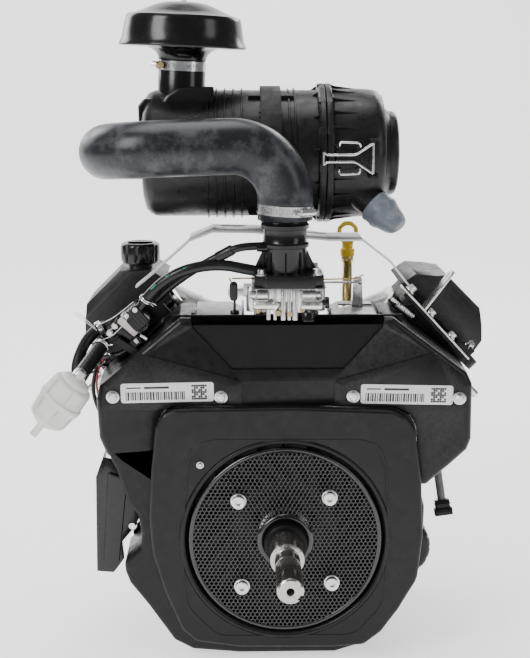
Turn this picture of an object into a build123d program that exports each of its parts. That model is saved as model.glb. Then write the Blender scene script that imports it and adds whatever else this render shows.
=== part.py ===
"""A 90 degree V-twin, air-cooled gasoline engine with a horizontal crankshaft and a canister air cleaner.

The engine stands on its base. +Z is up, +X is to the right of someone who faces the cooling fan, and that
person looks along +Y. The origin is on the mounting face, at the middle of the four base bolts.
Inside this file a place is given as (x, depth, rise): depth is measured back from the plane of the fan
opening, and rise is measured up from the crankshaft's axis.
"""
import os
from math import atan2, cos, degrees, radians, sin

from build123d import *

# ---------------------------------------------------------------- driving dimensions, mm
CRANK_HEIGHT = 150.0        # crankshaft axis above the mounting face
OPENING_BEHIND_ORIGIN = -190.0  # Y of the fan opening's plane
WALL = 3.0                  # moulded and stamped covers

OPENING_RADIUS = 117.0
SCREEN_RADIUS = 111.0
SHAFT_RADIUS = 28.575 / 2   # 1-1/8 in output shafts
STUB_REACH = 141.0          # end of the front stub shaft, ahead of the opening
RELIEF, RELIEF_DEPTH = 2.0, 0.6   # groove where each shaft's keyway ends
SHROUD_DEPTH = 95.0         # back edge of both blower housings
OUTER_FACE = 15.0           # depth of the upper housing's front face
PANEL_FACE = 30.0           # depth of the recessed panel

CASE_FRONT, CASE_BACK = 100.0, 285.0
PLATE_BACK = 303.0          # outside of the closure plate
PTO_END = 400.0
PTO_RELIEF = 324.0          # front of the output shaft's groove
STUB_RELIEF = -82.0         # front of the stub shaft's groove

BANK_ANGLE = 45.0
DECK = 95.0                 # crank axis to a cylinder's seat
HEAD_SEAT, COVER_SEAT, COVER_TOP = 240.0, 297.0, 344.0
BORE_RADIUS = 41.5
CYLINDER_DEPTH = {-1: 197.0, 1: 160.0}   # side -1 is the left bank, +1 the right bank

CAM_RISE = 62.0             # camshaft above the crankshaft
CRANK_THROW = 33.5

CANISTER_DEPTH, CANISTER_RISE = 165.0, 430.5
CAP_X = -119.0              # pre-cleaner's axis
TOWER_X, TOWER_DEPTH = 0.0, 42.0  # air adapter on the carburetor
HOSE_RADIUS, HOSE_BORE = 31.0, 25.6

os.makedirs("parts", exist_ok=True)


# ---------------------------------------------------------------- planes and small helpers
def place(x, depth, rise):
    """The point of the part's own frame at this x, depth and rise."""
    return (x, OPENING_BEHIND_ORIGIN + depth, CRANK_HEIGHT + rise)


def facing(depth, x=0.0, rise=0.0):
    """A plane seen from the front: x to the right, y up, normal towards the viewer."""
    return Plane(origin=place(x, depth, rise), x_dir=(1, 0, 0), z_dir=(0, -1, 0))


def across(x, depth=0.0, rise=0.0):
    """A plane square to X: its x runs back, its y up, its normal to the right."""
    return Plane(origin=place(x, depth, rise), x_dir=(0, 1, 0), z_dir=(1, 0, 0))


def level(rise, x=0.0, depth=0.0):
    """A level plane: x to the right, y back."""
    return Plane(origin=place(x, depth, rise))


def bank(side, run, lift=0.0, depth=0.0):
    """A plane square to a cylinder's axis: y points up and in, towards the middle of the V."""
    angle = radians(BANK_ANGLE)
    x = side * (run * sin(angle) - lift * cos(angle))
    rise = run * cos(angle) + lift * sin(angle)
    return Plane(origin=place(x, depth, rise), x_dir=(0, side, 0),
                 z_dir=(side * sin(angle), 0, cos(angle)))


def bank_face(side, depth):
    """A plane seen from the front whose x points up and in from the cylinder's axis, and y out along it."""
    angle = radians(BANK_ANGLE)
    out = Vector(side * sin(angle), 0, cos(angle))
    return Plane(origin=place(0, depth, 0), x_dir=(-side * cos(angle), 0, sin(angle)),
                 z_dir=Vector(-side * cos(angle), 0, sin(angle)).cross(out))


def save(builder, name):
    builder.part.label = name
    export_step(builder.part, f"parts/{name}.step")


def rod(start, end, radius):
    """A round bar between two (x, depth, rise) points, as a loose solid."""
    a, b = Vector(*place(*start)), Vector(*place(*end))
    return Solid.make_cylinder(radius, (b - a).length, Plane(origin=a, z_dir=b - a))


RUN_SHARE = 0.45            # of the shorter run that each bend may take up


def bend_radii(points):
    """The largest tangent arcs that a route of (x, depth, rise) points leaves room for."""
    at = [Vector(*place(*p)) for p in points]
    radii = []
    for before, here, after in zip(at, at[1:], at[2:]):
        half_turn = radians((here - before).get_angle(after - here)) / 2
        run = min((here - before).length, (after - here).length)
        radii.append(RUN_SHARE * run * cos(half_turn) / sin(half_turn))
    return radii


def hose(points, radius, bore):
    """A tube of straight runs and tangent arcs through (x, depth, rise) points."""
    at = [Vector(*place(*p)) for p in points]
    radii = bend_radii(points)
    with BuildPart() as tube:
        with BuildLine() as path:
            FilletPolyline(*at, radius=radii)
        start = path.line
        with BuildSketch(Plane(origin=start @ 0, z_dir=start % 0)):
            Circle(radius)
            if bore:
                Circle(bore, mode=Mode.SUBTRACT)
        sweep()
    return tube.part


# ---------------------------------------------------------------- outlines shared by pieces
# the upper housing's outline, seen from the front; the left and right shoulders differ a little
UPPER_OUTLINE = [
    (-120, 260), (-213, 182), (-217, 165), (-215, 118), (-207, 98), (-193, 84), (-155, 57),
    (165, 57), (195, 84), (212, 100), (217, 114), (216, 180), (209, 195), (123, 260),
]
# the fan housing's outline; it bulges at the lower left, where the air leaves
FAN_OUTLINE = [
    (-125, 157), (-136, 153), (-145, 138), (-156, 39), (-170, 0), (-187, -19), (-185, -39), (-178, -53),
    (-160, -81), (-126, -127), (-106, -137), (-52, -144), (60, -144), (80, -139), (97, -131), (106, -120),
    (139, -75), (152, -49), (157, -27), (161, 14), (161, 34), (154, 62), (149, 130), (142, 146), (124, 155),
]
PANEL_OUTLINE = [(-112, 261), (-104, 247), (-60, 199), (66, 199), (109, 247), (118, 261)]
LABEL_SPOTS = {-1: (-133.5, 173.5, -0.9), 1: (138.0, 169.5, 1.3)}   # x, rise and tilt of each label
LABEL_SIZE = (105.0, 22.5)
LABEL_BOLTS = [(-195, 169), (-73, 168), (77, 168), (198, 165)]
PANEL_SCREWS = [(-70, 236), (76, 235)]

# ---------------------------------------------------------------- upper housing
with BuildPart() as upper_housing:
    with BuildSketch(facing(SHROUD_DEPTH)):
        with BuildLine():
            Polyline(*UPPER_OUTLINE, close=True)
        make_face()
        fillet(vertices(), 7)
    extrude(amount=SHROUD_DEPTH - OUTER_FACE, taper=2.0)
    front = upper_housing.faces().sort_by(Axis.Y)[0]
    fillet(front.outer_wire().edges(), 8)
    with BuildSketch(facing(SHROUD_DEPTH)):          # hollow, and open at the back
        with BuildLine():
            Polyline(*UPPER_OUTLINE, close=True)
        make_face()
        fillet(vertices(), 7)
        offset(amount=-WALL)
    extrude(amount=SHROUD_DEPTH - OUTER_FACE - WALL, taper=2.0, mode=Mode.SUBTRACT)
    with BuildSketch(facing(OUTER_FACE)):            # raised fields that the labels sit on
        with BuildLine():
            Polyline((-206, 153), (-206, 184), (-165, 219), (-50, 186), (-50, 153), close=True)
        make_face()
        with BuildLine():
            Polyline((208, 150), (208, 181), (170, 218), (56, 186), (56, 150), close=True)
        make_face()
        fillet(vertices(), 5)
    extrude(amount=2.0)
    with BuildSketch(facing(OUTER_FACE - 10)):       # recess for the dark panel
        with BuildLine():
            Polyline(*[(x, rise + (20 if rise > 250 else 0)) for x, rise in PANEL_OUTLINE], close=True)
        make_face()
    extrude(amount=-40, mode=Mode.SUBTRACT)
    with BuildSketch(facing(34)):                    # its top is open behind the panel
        with BuildLine():
            Polyline((-103, 240), (108, 240), (108, 290), (-103, 290), close=True)
        make_face()
    extrude(amount=-90, mode=Mode.SUBTRACT)
    with BuildSketch(facing(-5)):                    # the fan housing stands through it
        with BuildLine():
            Polyline(*FAN_OUTLINE, close=True)
        make_face()
        fillet(vertices(), 6)
        offset(amount=1.0, kind=Kind.INTERSECTION)
    extrude(amount=-120, mode=Mode.SUBTRACT)
    with BuildSketch(facing(OUTER_FACE + 6)):        # open across the bottom, where the fan housing is
        with Locations((4, 40)):
            Rectangle(330, 60)
    extrude(amount=-100, mode=Mode.SUBTRACT)
    with Locations([facing(OUTER_FACE - 3, x, rise) for x, rise in LABEL_BOLTS]):
        Hole(3.2, depth=12)
save(upper_housing, "upper_housing")

# ---------------------------------------------------------------- fan housing
with BuildPart() as fan_housing:
    with BuildSketch(facing(SHROUD_DEPTH)):
        with BuildLine():
            Polyline(*FAN_OUTLINE, close=True)
        make_face()
        fillet(vertices(), 6)
    extrude(amount=SHROUD_DEPTH)
    front = fan_housing.faces().sort_by(Axis.Y)[0]
    fillet(front.outer_wire().edges(), 5)
    with BuildSketch(facing(SHROUD_DEPTH)):
        with BuildLine():
            Polyline(*FAN_OUTLINE, close=True)
        make_face()
        fillet(vertices(), 6)
        offset(amount=-WALL)
    extrude(amount=SHROUD_DEPTH - WALL, mode=Mode.SUBTRACT)
    with BuildSketch(facing(0)):                     # shallow field round the opening
        with Locations((0, -5)):
            RectangleRounded(236, 238, 60)
        Circle(OPENING_RADIUS + 2, mode=Mode.SUBTRACT)
    extrude(amount=-1.2, mode=Mode.SUBTRACT)
    with BuildSketch(facing(0)):
        Circle(OPENING_RADIUS + 3.5)
    extrude(amount=-14)                              # the opening's rolled-in lip
    with BuildSketch(facing(-5)):
        Circle(OPENING_RADIUS)
    extrude(amount=-30, mode=Mode.SUBTRACT)
    with Locations(facing(-1, -97, 92)):
        Hole(2.6, depth=8)
save(fan_housing, "fan_housing")

STARTER = (-134.0, -10.0)     # x and rise of its shaft; the pinion's tips clear the ring gear's at rest
PLATE_CLEARANCE = WALL + 0.6  # from the housing's outline in to the backing plate's edge

with BuildPart() as backing_plate:                   # closes the fan housing behind the flywheel
    with BuildSketch(facing(94.5)):
        with BuildLine():
            Polyline(*FAN_OUTLINE, close=True)
        make_face()
        fillet(vertices(), 6)
        offset(amount=-PLATE_CLEARANCE)
        Circle(36, mode=Mode.SUBTRACT)
        with Locations(STARTER):
            Circle(17, mode=Mode.SUBTRACT)
    extrude(amount=1.6)
save(backing_plate, "backing_plate")

# ---------------------------------------------------------------- recessed panel and the baffles behind it
with BuildPart() as top_panel:
    with BuildSketch(facing(PANEL_FACE)):
        with BuildLine():
            Polyline((-128, 259), (-128, 238), (-72, 182), (78, 182), (133, 238), (133, 259), close=True)
        make_face()
        with Locations((-47, 228)):
            Circle(6, mode=Mode.SUBTRACT)
        with Locations((4, 228)):
            Circle(7.7, mode=Mode.SUBTRACT)
        with Locations((-33, 220), (3, 203), (54, 227)):
            Circle(4, mode=Mode.SUBTRACT)
        with Locations(*PANEL_SCREWS):
            Circle(3.2, mode=Mode.SUBTRACT)
    extrude(amount=-WALL)
    add(upper_housing.part, mode=Mode.SUBTRACT)
save(top_panel, "top_panel")

with BuildPart() as inner_baffles:                   # left and right, over the cylinders' fins
    for side, edge in ((-1, -46.0), (1, 50.0)):
        with BuildSketch(level(254)):
            with BuildLine():
                Polyline((edge, 36), (edge, 92), (edge + side * 16, 126),
                         (edge + side * 56, 126), (edge + side * 56, 36), close=True)
            make_face()
            with Locations((88, 98)):    # slot for the governor lever
                Rectangle(44, 20, mode=Mode.SUBTRACT)
        extrude(amount=2)
        with Locations(Location(place(edge + side * 1.5, 63, 256))):
            Box(3, 50, 9, align=(Align.CENTER, Align.CENTER, Align.MIN))
save(inner_baffles, "inner_baffles")

# ---------------------------------------------------------------- labels and the bolts beside them
with BuildPart() as label_plates:
    for x, rise, tilt in LABEL_SPOTS.values():
        with BuildSketch(facing(OUTER_FACE - 2).offset(0.02)):
            with Locations((x, rise)):
                RectangleRounded(*LABEL_SIZE, 3, rotation=-tilt)
        extrude(amount=0.6)
save(label_plates, "label_plates")


def flange_bolt(plane, across_flats, head, flange_radius, shank_radius, shank):
    """A hex flange bolt whose flange lies on the plane, pointing along its normal, as a loose solid."""
    with BuildPart(mode=Mode.PRIVATE) as bolt:
        with BuildSketch(plane):
            Circle(flange_radius)
        extrude(amount=1.6)
        with BuildSketch(plane):
            RegularPolygon(across_flats / 2, 6, major_radius=False)
        extrude(amount=head)
        chamfer(bolt.faces().filter_by(GeomType.PLANE).sort_by(
            lambda f: (f.center() - plane.origin).dot(plane.z_dir))[-1].edges(), 0.8)
        with BuildSketch(plane):
            Circle(shank_radius)
        extrude(amount=-shank)
    return bolt.part


shroud_bolt_spots = [facing(OUTER_FACE - 2.05, x, rise) for x, rise in LABEL_BOLTS]
shroud_bolt_spots += [facing(PANEL_FACE - 0.05, x, rise) for x, rise in PANEL_SCREWS]
shroud_bolt_spots += [facing(-0.05, -97, 92)]
bolt_solids = [flange_bolt(plane, 9, 6, 7.5, 2.9, 8) for plane in shroud_bolt_spots[:4]]
bolt_solids += [flange_bolt(plane, 8, 4.5, 6.5, 2.9, 6) for plane in shroud_bolt_spots[4:6]]
bolt_solids += [flange_bolt(shroud_bolt_spots[6], 5, 3, 4.2, 2.4, 6)]
with BuildPart() as shroud_bolts:
    add(bolt_solids)
save(shroud_bolts, "shroud_bolts")

# ---------------------------------------------------------------- crankcase and closure plate
CASE_OUTLINE = [
    (-128, -150), (128, -150), (128, -138), (98, -118), (98, 13), (109.6, 24.7), (24.7, 109.6),
    (-24.7, 109.6), (-109.6, 24.7), (-98, 13), (-98, -118), (-128, -138),
]
CASE_HOLLOW = [(-93, -116), (93, -116), (93, 16), (102, 25), (23, 104), (-23, 104), (-102, 25), (-93, 16)]
BASE_BOLTS = (206.0, 140.0)   # spacing of the base bolts across and along the engine
PTO_BOLT_CIRCLE = 165.1 / 2
FILTER_X, FILTER_RISE, FILTER_RADIUS = 147.0, -52.0, 38.0
FILTER_SEAT, FILTER_FRONT = 186.0, 97.0

with BuildPart() as crankcase:
    with BuildSketch(facing(CASE_BACK)):
        with BuildLine():
            Polyline(*CASE_OUTLINE, close=True)
        make_face()
    extrude(amount=CASE_BACK - CASE_FRONT)
    fillet(crankcase.edges().filter_by(Axis.Y).group_by(Axis.Z)[-1], 6)
    with BuildSketch(facing(CASE_BACK)):
        with BuildLine():
            Polyline(*CASE_HOLLOW, close=True)
        make_face()
    extrude(amount=CASE_BACK - CASE_FRONT - 12, mode=Mode.SUBTRACT)
    with BuildSketch(facing(CASE_FRONT + 20)):       # front main bearing and camshaft bosses
        Circle(32)
    extrude(amount=22)
    with BuildSketch(facing(CASE_FRONT + 18)):
        with Locations((0, CAM_RISE)):
            Circle(15)
    extrude(amount=8)
    with Locations(facing(CASE_FRONT - 5)):
        Hole(17.55, depth=40)
    with BuildSketch(facing(CASE_FRONT + 18)):
        with Locations((0, CAM_RISE)):
            Circle(8.05)
    extrude(amount=12, mode=Mode.SUBTRACT)
    for side, depth in CYLINDER_DEPTH.items():       # the cylinders' spigot holes
        with BuildSketch(bank(side, DECK - 20, 0, depth)):
            Circle(46.5)
        extrude(amount=30, mode=Mode.SUBTRACT)
    with BuildSketch(level(-CRANK_HEIGHT)):          # four base bolts
        with Locations((0, -OPENING_BEHIND_ORIGIN)):
            with GridLocations(*BASE_BOLTS, 2, 2):
                Circle(5.0)
    extrude(amount=30, mode=Mode.SUBTRACT)
    with BuildSketch(facing(FILTER_SEAT)):           # pad that the oil filter screws to
        with BuildLine():
            Polyline((98, -88), (150, -88), (172, -70), (172, -34), (150, -16), (98, -16), close=True)
        make_face()
    extrude(amount=-26)
    for depth in (130.0, 165.0, 220.0, 255.0):       # stiffening ribs on the sides
        for side in (-1, 1):
            if side == 1 and 150 < depth < 230:
                continue
            with BuildSketch(facing(depth)):
                with BuildLine():
                    Polyline((side * 97, 8), (side * 101, 4), (side * 105, -116), (side * 97, -119),
                             close=True)
                make_face()
            extrude(amount=5)
save(crankcase, "crankcase")

with BuildPart() as closure_plate:
    with BuildSketch(facing(PLATE_BACK)):
        with BuildLine():
            Polyline(*[(x * 0.985, rise if rise > -140 else rise + 4) for x, rise in CASE_OUTLINE],
                     close=True)
        make_face()
        fillet(vertices(), 3)
    extrude(amount=PLATE_BACK - CASE_BACK)
    with BuildSketch(facing(PLATE_BACK)):            # pilot round the output shaft
        Circle(73.0)
    extrude(amount=-6)
    with BuildSketch(facing(PLATE_BACK)):
        with PolarLocations(PTO_BOLT_CIRCLE, 4, start_angle=45):
            Circle(13)
    extrude(amount=-6)
    with BuildSketch(facing(PLATE_BACK)):
        with PolarLocations(78, 12, start_angle=15):
            Rectangle(20, 3)
    extrude(amount=-3)
    with BuildSketch(facing(CASE_BACK - 1)):
        Circle(20.1)
    extrude(amount=-40, mode=Mode.SUBTRACT)
    with BuildSketch(facing(CASE_BACK)):
        with Locations((0, CAM_RISE)):
            Circle(8.05)
    extrude(amount=-10, mode=Mode.SUBTRACT)
    with BuildSketch(facing(PLATE_BACK + 8)):
        with PolarLocations(PTO_BOLT_CIRCLE, 4, start_angle=45):
            Circle(4.0)
    extrude(amount=26, mode=Mode.SUBTRACT)
save(closure_plate, "closure_plate")


# ---------------------------------------------------------------- cylinders, heads and valve covers
def cylinder_barrel(side):
    depth = CYLINDER_DEPTH[side]
    with BuildPart() as barrel:
        with BuildSketch(bank(side, DECK - 14, 0, depth)):
            Circle(46.3)
            Circle(BORE_RADIUS, mode=Mode.SUBTRACT)
        extrude(amount=HEAD_SEAT - DECK + 14)
        with BuildSketch(bank(side, DECK, 0, depth)):
            RectangleRounded(112, 112, 10)
            Circle(BORE_RADIUS, mode=Mode.SUBTRACT)
        extrude(amount=9)
        for fin in range(11):
            with BuildSketch(bank(side, DECK + 18 + 11.4 * fin, 0, depth)):
                RectangleRounded(122, 122, 22)
                Circle(BORE_RADIUS, mode=Mode.SUBTRACT)
            extrude(amount=3)
        with BuildSketch(bank(side, HEAD_SEAT, 0, depth)):
            RectangleRounded(122, 122, 22)
            Circle(BORE_RADIUS, mode=Mode.SUBTRACT)
        extrude(amount=-6)
    return barrel


def cylinder_head(side):
    depth = CYLINDER_DEPTH[side]
    with BuildPart() as head:
        with BuildSketch(bank(side, HEAD_SEAT, 22, depth)):
            RectangleRounded(112, 122, 12)
        extrude(amount=COVER_SEAT - HEAD_SEAT - 1)
        for fin in range(4):                         # cooling slots round the head
            with BuildSketch(bank(side, HEAD_SEAT + 9 + 9.5 * fin, 22, depth)):
                RectangleRounded(130, 140, 12)
                RectangleRounded(88, 98, 8, mode=Mode.SUBTRACT)
            extrude(amount=5.5, mode=Mode.SUBTRACT)
        with BuildSketch(bank(side, HEAD_SEAT, 0, depth)):   # combustion chamber
            Circle(BORE_RADIUS - 4)
        extrude(amount=10, mode=Mode.SUBTRACT)
        port = Plane(origin=bank(side, HEAD_SEAT + 26, 83, depth).origin,
                     x_dir=(0, 1, 0), z_dir=bank(side, 0).y_dir)
        with BuildSketch(port):                      # intake port's boss, on the inside of the V
            Circle(21)
        extrude(amount=-14)
        with BuildSketch(port):
            Circle(14)
        extrude(amount=-30, mode=Mode.SUBTRACT)
        exhaust = Plane(origin=bank(side, HEAD_SEAT + 26, -39, depth + 22).origin,
                        x_dir=(0, 1, 0), z_dir=-bank(side, 0).y_dir)
        with BuildSketch(exhaust):                   # exhaust port's boss, on the outside
            Circle(22)
        extrude(amount=-14)
        with BuildSketch(exhaust):
            Circle(15)
        extrude(amount=-30, mode=Mode.SUBTRACT)
        plug = Plane(origin=bank(side, HEAD_SEAT + 26, -39, depth - 32).origin,
                     x_dir=(0, 1, 0), z_dir=-bank(side, 0).y_dir)
        with BuildSketch(plug):                      # spark plug's boss and hole
            Circle(13)
        extrude(amount=-14)
        with BuildSketch(plug):
            Circle(7.05)
        extrude(amount=-22, mode=Mode.SUBTRACT)
    return head, plug, exhaust


def cover_form(side, inset=0.0, seat=COVER_SEAT):
    """The bevelled form of a valve cover, or the space inside it."""
    half, bevel = 52.0 - inset, 11.0
    top = COVER_TOP - inset
    depth = CYLINDER_DEPTH[side]
    lengthwise = bank(side, 0, -40, depth)
    with BuildPart(mode=Mode.PRIVATE) as form:
        with BuildSketch(bank_face(side, depth)):
            with BuildLine():
                Polyline((inset - 26, seat), (inset - 22, 318), (6 + inset / 2, top), (64 - inset / 2, top),
                         (94 - inset, 318), (98 - inset, seat), close=True)
            make_face()
        extrude(amount=half, both=True)
        with BuildSketch(Plane(origin=lengthwise.origin, x_dir=(0, side, 0), z_dir=lengthwise.y_dir)):
            with BuildLine():
                Polyline((-half, -seat), (-half, bevel - top), (bevel - half, -top), (half - bevel, -top),
                         (half, bevel - top), (half, -seat), close=True)
            make_face()
        extrude(amount=160, mode=Mode.INTERSECT)
    return form.part


def valve_cover(side):
    with BuildPart() as cover:
        add(cover_form(side))
        add(cover_form(side, inset=4.0, seat=COVER_SEAT - 2), mode=Mode.SUBTRACT)
    return cover


barrels, heads, plugs, exhausts, covers = {}, {}, {}, {}, {}
for side, word in ((-1, "left"), (1, "right")):
    barrels[side] = cylinder_barrel(side)
    save(barrels[side], f"cylinder_{word}")
    heads[side], plugs[side], exhausts[side] = cylinder_head(side)
    save(heads[side], f"head_{word}")
    covers[side] = valve_cover(side)

FILL_X, FILL_DEPTH, FILL_RISE = -173.0, 172.0, 296.0
with BuildPart() as left_cover:                      # the left one carries the oil filler's neck
    add(covers[-1].part)
    with BuildSketch(level(FILL_RISE - 24, FILL_X, FILL_DEPTH)):
        Circle(15)
    extrude(amount=31)
save(left_cover, "valve_cover_left")
save(covers[1], "valve_cover_right")


# ---------------------------------------------------------------- rotating parts
def turned(sections):
    """Round steps along the crankshaft's line, each (front depth, back depth, radius), as one solid."""
    with BuildPart(mode=Mode.PRIVATE) as steps:
        for front_depth, back_depth, radius in sections:
            with BuildSketch(facing(back_depth)):
                Circle(radius)
            extrude(amount=back_depth - front_depth)
    return steps.part


FAN_PLATE, FLYWHEEL_FACE = (36.0, 40.0), 40.0
SCREEN_BOLTS = [(73.5, 47.0 + 90 * turn) for turn in range(4)]   # radius and angle
KEY_WIDTH, KEY_DEPTH = 6.35, 3.3

with BuildPart() as crankshaft:
    add(turned([(36, 100, 15), (100, 123, 17.5), (252, 300, 20), (262, 276, 20.9),
                (300, PTO_RELIEF, SHAFT_RADIUS),
                (PTO_RELIEF, PTO_RELIEF + RELIEF, SHAFT_RADIUS - RELIEF_DEPTH),
                (PTO_RELIEF + RELIEF, PTO_END, SHAFT_RADIUS)]))
    for web in (123, 240):
        with BuildSketch(facing(web + 12)):
            with BuildSketch(mode=Mode.PRIVATE) as counterweight:
                Circle(50)
                with Locations((0, 40)):
                    Rectangle(120, 80, mode=Mode.SUBTRACT)
            add(counterweight.sketch)
            Circle(24)
            with Locations((0, CRANK_THROW)):
                Circle(18)
            with Locations((0, CRANK_THROW / 2)):
                Rectangle(36, CRANK_THROW)
        extrude(amount=12)
    with BuildSketch(facing(240)):
        with Locations((0, CRANK_THROW)):
            Circle(16)
    extrude(amount=105)
    chamfer(crankshaft.faces().sort_by(Axis.Y)[-1].edges(), 1.5)
    with BuildSketch(facing(PTO_END + 1)):           # keyway
        with Locations((0, SHAFT_RADIUS)):
            Rectangle(KEY_WIDTH, 2 * KEY_DEPTH)
    extrude(amount=PTO_END - PTO_RELIEF, mode=Mode.SUBTRACT)
    with BuildSketch(facing(PTO_END + 1)):           # tapped centre
        Circle(4.0)
    extrude(amount=39, mode=Mode.SUBTRACT)
save(crankshaft, "crankshaft")

with BuildPart() as camshaft:
    for front_depth, back_depth, radius in ((107, 294, 8), (262, 276, 40.7)):
        with BuildSketch(facing(back_depth, 0, CAM_RISE)):
            Circle(radius)
        extrude(amount=back_depth - front_depth)
    for lobe, angle in ((145, 45), (165, 75), (205, 135), (225, 165)):
        with BuildSketch(facing(lobe + 9, 0, CAM_RISE)):
            Circle(8.6)
            with PolarLocations(4.5, 1, start_angle=angle):
                Circle(6)
        extrude(amount=9)
    with BuildSketch(facing(277, 0, CAM_RISE)):
        with PolarLocations(26, 5):
            Circle(9)
    extrude(amount=20, mode=Mode.SUBTRACT)
save(camshaft, "camshaft")

with BuildPart() as flywheel:
    add(turned([(FLYWHEEL_FACE, 92, 32), (62, 72, 104), (44, 80, 104), (70, 80, 122)]))
    with BuildSketch(facing(62)):
        Circle(92)
        Circle(32, mode=Mode.SUBTRACT)
    extrude(amount=30, mode=Mode.SUBTRACT)
    with BuildSketch(facing(90)):
        Circle(92)
        Circle(32, mode=Mode.SUBTRACT)
    extrude(amount=18, mode=Mode.SUBTRACT)
    with BuildSketch(facing(95)):
        Circle(15.05)
    extrude(amount=60, mode=Mode.SUBTRACT)
    with BuildSketch(facing(80)):
        with Locations(*[(r * cos(radians(a)), r * sin(radians(a))) for r, a in SCREEN_BOLTS]):
            Circle(4.2)
    extrude(amount=30, mode=Mode.SUBTRACT)
save(flywheel, "flywheel")

with BuildPart() as cooling_fan:
    with BuildSketch(facing(FAN_PLATE[1])):
        Circle(110)
    extrude(amount=FAN_PLATE[1] - FAN_PLATE[0])
    with BuildSketch(facing(FAN_PLATE[0])):
        with PolarLocations(82, 22):
            Rectangle(54, 2.6, rotation=38)
        with Locations(*[(r * cos(radians(a)), r * sin(radians(a))) for r, a in SCREEN_BOLTS]):
            Circle(8)
    extrude(amount=25)
    with BuildSketch(facing(FAN_PLATE[0])):
        Circle(48)
    extrude(amount=6)
    with BuildSketch(facing(FAN_PLATE[1] + 1)):
        Circle(19.5)
        with PolarLocations(34.5, 6, start_angle=30):
            Circle(7)
        with Locations(*[(r * cos(radians(a)), r * sin(radians(a))) for r, a in SCREEN_BOLTS]):
            Circle(4.2)
    extrude(amount=40, mode=Mode.SUBTRACT)
save(cooling_fan, "cooling_fan")

with BuildPart() as debris_screen:
    with BuildSketch(facing(-1.5)):
        Circle(SCREEN_RADIUS)
    extrude(amount=1.5)
    with BuildSketch(facing(5)):
        Circle(SCREEN_RADIUS)
        Circle(SCREEN_RADIUS - 1.5, mode=Mode.SUBTRACT)
    extrude(amount=7)
    with BuildSketch(facing(-3)):
        Circle(24)
    extrude(amount=15)
    chamfer(debris_screen.faces().sort_by(Axis.Y)[0].edges(), 1.5)
    with BuildSketch(facing(6)):
        Circle(19.1)
        with Locations(*[(r * cos(radians(a)), r * sin(radians(a))) for r, a in SCREEN_BOLTS]):
            Circle(4.3)
    extrude(amount=30, mode=Mode.SUBTRACT)
save(debris_screen, "debris_screen")

with BuildPart() as screen_bolts:
    for radius, angle in SCREEN_BOLTS:
        spot = facing(0, radius * cos(radians(angle)), radius * sin(radians(angle)))
        with BuildSketch(spot.offset(3.0)):
            Circle(9)
        extrude(amount=3)
        with BuildSketch(spot.offset(6.0)):
            Circle(7.6)
        extrude(amount=6)
        with BuildSketch(spot.offset(12.0)):
            RegularPolygon(3.5, 6)
        extrude(amount=-3, mode=Mode.SUBTRACT)
        with BuildSketch(spot.offset(3.0)):
            Circle(4.1)
        extrude(amount=-65)
save(screen_bolts, "screen_bolts")

with BuildPart() as stub_shaft:
    add(turned([(-STUB_REACH, STUB_RELIEF, SHAFT_RADIUS),
                (STUB_RELIEF, STUB_RELIEF + RELIEF, SHAFT_RADIUS - RELIEF_DEPTH),
                (STUB_RELIEF + RELIEF, -58, SHAFT_RADIUS), (-58, 35.9, 19), (24, 30, 30)]))
    chamfer(stub_shaft.faces().sort_by(Axis.Y)[0].edges(), 2.0)
    with BuildSketch(facing(-STUB_REACH - 1)):       # tapped centre
        Circle(4.25)
    extrude(amount=-36, mode=Mode.SUBTRACT)
    with BuildSketch(facing(-STUB_REACH - 1)):       # keyway
        with PolarLocations(SHAFT_RADIUS, 1, start_angle=-35):
            Rectangle(2 * KEY_DEPTH, KEY_WIDTH)
    extrude(amount=-(STUB_REACH + 2 + STUB_RELIEF), mode=Mode.SUBTRACT)
save(stub_shaft, "stub_shaft")

# ---------------------------------------------------------------- inside the cylinders
with BuildPart() as pistons:
    for side, depth in CYLINDER_DEPTH.items():
        with BuildSketch(bank(side, 176, 0, depth)):
            Circle(BORE_RADIUS - 0.05)
        extrude(amount=52)
        for ring in (42, 46, 50):
            with BuildSketch(bank(side, 176 + ring - 2, 0, depth)):
                Circle(BORE_RADIUS + 1)
                Circle(BORE_RADIUS - 2.5, mode=Mode.SUBTRACT)
            extrude(amount=1.5, mode=Mode.SUBTRACT)
        with BuildSketch(bank(side, 176, 0, depth)):
            Circle(34)
        extrude(amount=34, mode=Mode.SUBTRACT)
save(pistons, "pistons")

with BuildPart() as spark_plugs:
    for side in (-1, 1):
        spot = plugs[side]
        with BuildSketch(spot):
            RegularPolygon(8, 6, major_radius=False)
        extrude(amount=9)
        with BuildSketch(spot.offset(9)):
            Circle(5)
        extrude(amount=24)
        with BuildSketch(spot):
            Circle(7.0)
        extrude(amount=-12)
save(spark_plugs, "spark_plugs")

COIL_ANGLES = (52, 128)
with BuildPart() as ignition_coils:
    for angle in COIL_ANGLES:
        outward = Vector(cos(radians(angle)), 0, sin(radians(angle)))
        foot = Vector(*place(0, 60, 0)) + outward * 104.4
        spot = Plane(origin=foot, x_dir=(0, 1, 0), z_dir=outward)
        with BuildSketch(spot):
            with Locations((0, 14), (0, -14)):
                Rectangle(14, 9)
        extrude(amount=17)
        with BuildSketch(spot.offset(17)):
            RectangleRounded(17, 46, 3)
        extrude(amount=16)
save(ignition_coils, "ignition_coils")

# ---------------------------------------------------------------- intake: manifold, carburetor and its levers
MANIFOLD_TOP = 222.0
THROTTLE = (40.0, 262.0)      # x and rise of the throttle shaft
GOVERNOR = (88.0, 215.0)      # x and rise of the governor lever's pivot
CHOKE = (-58.0, 282.0)
LINK_RISE = 285.0

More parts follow.
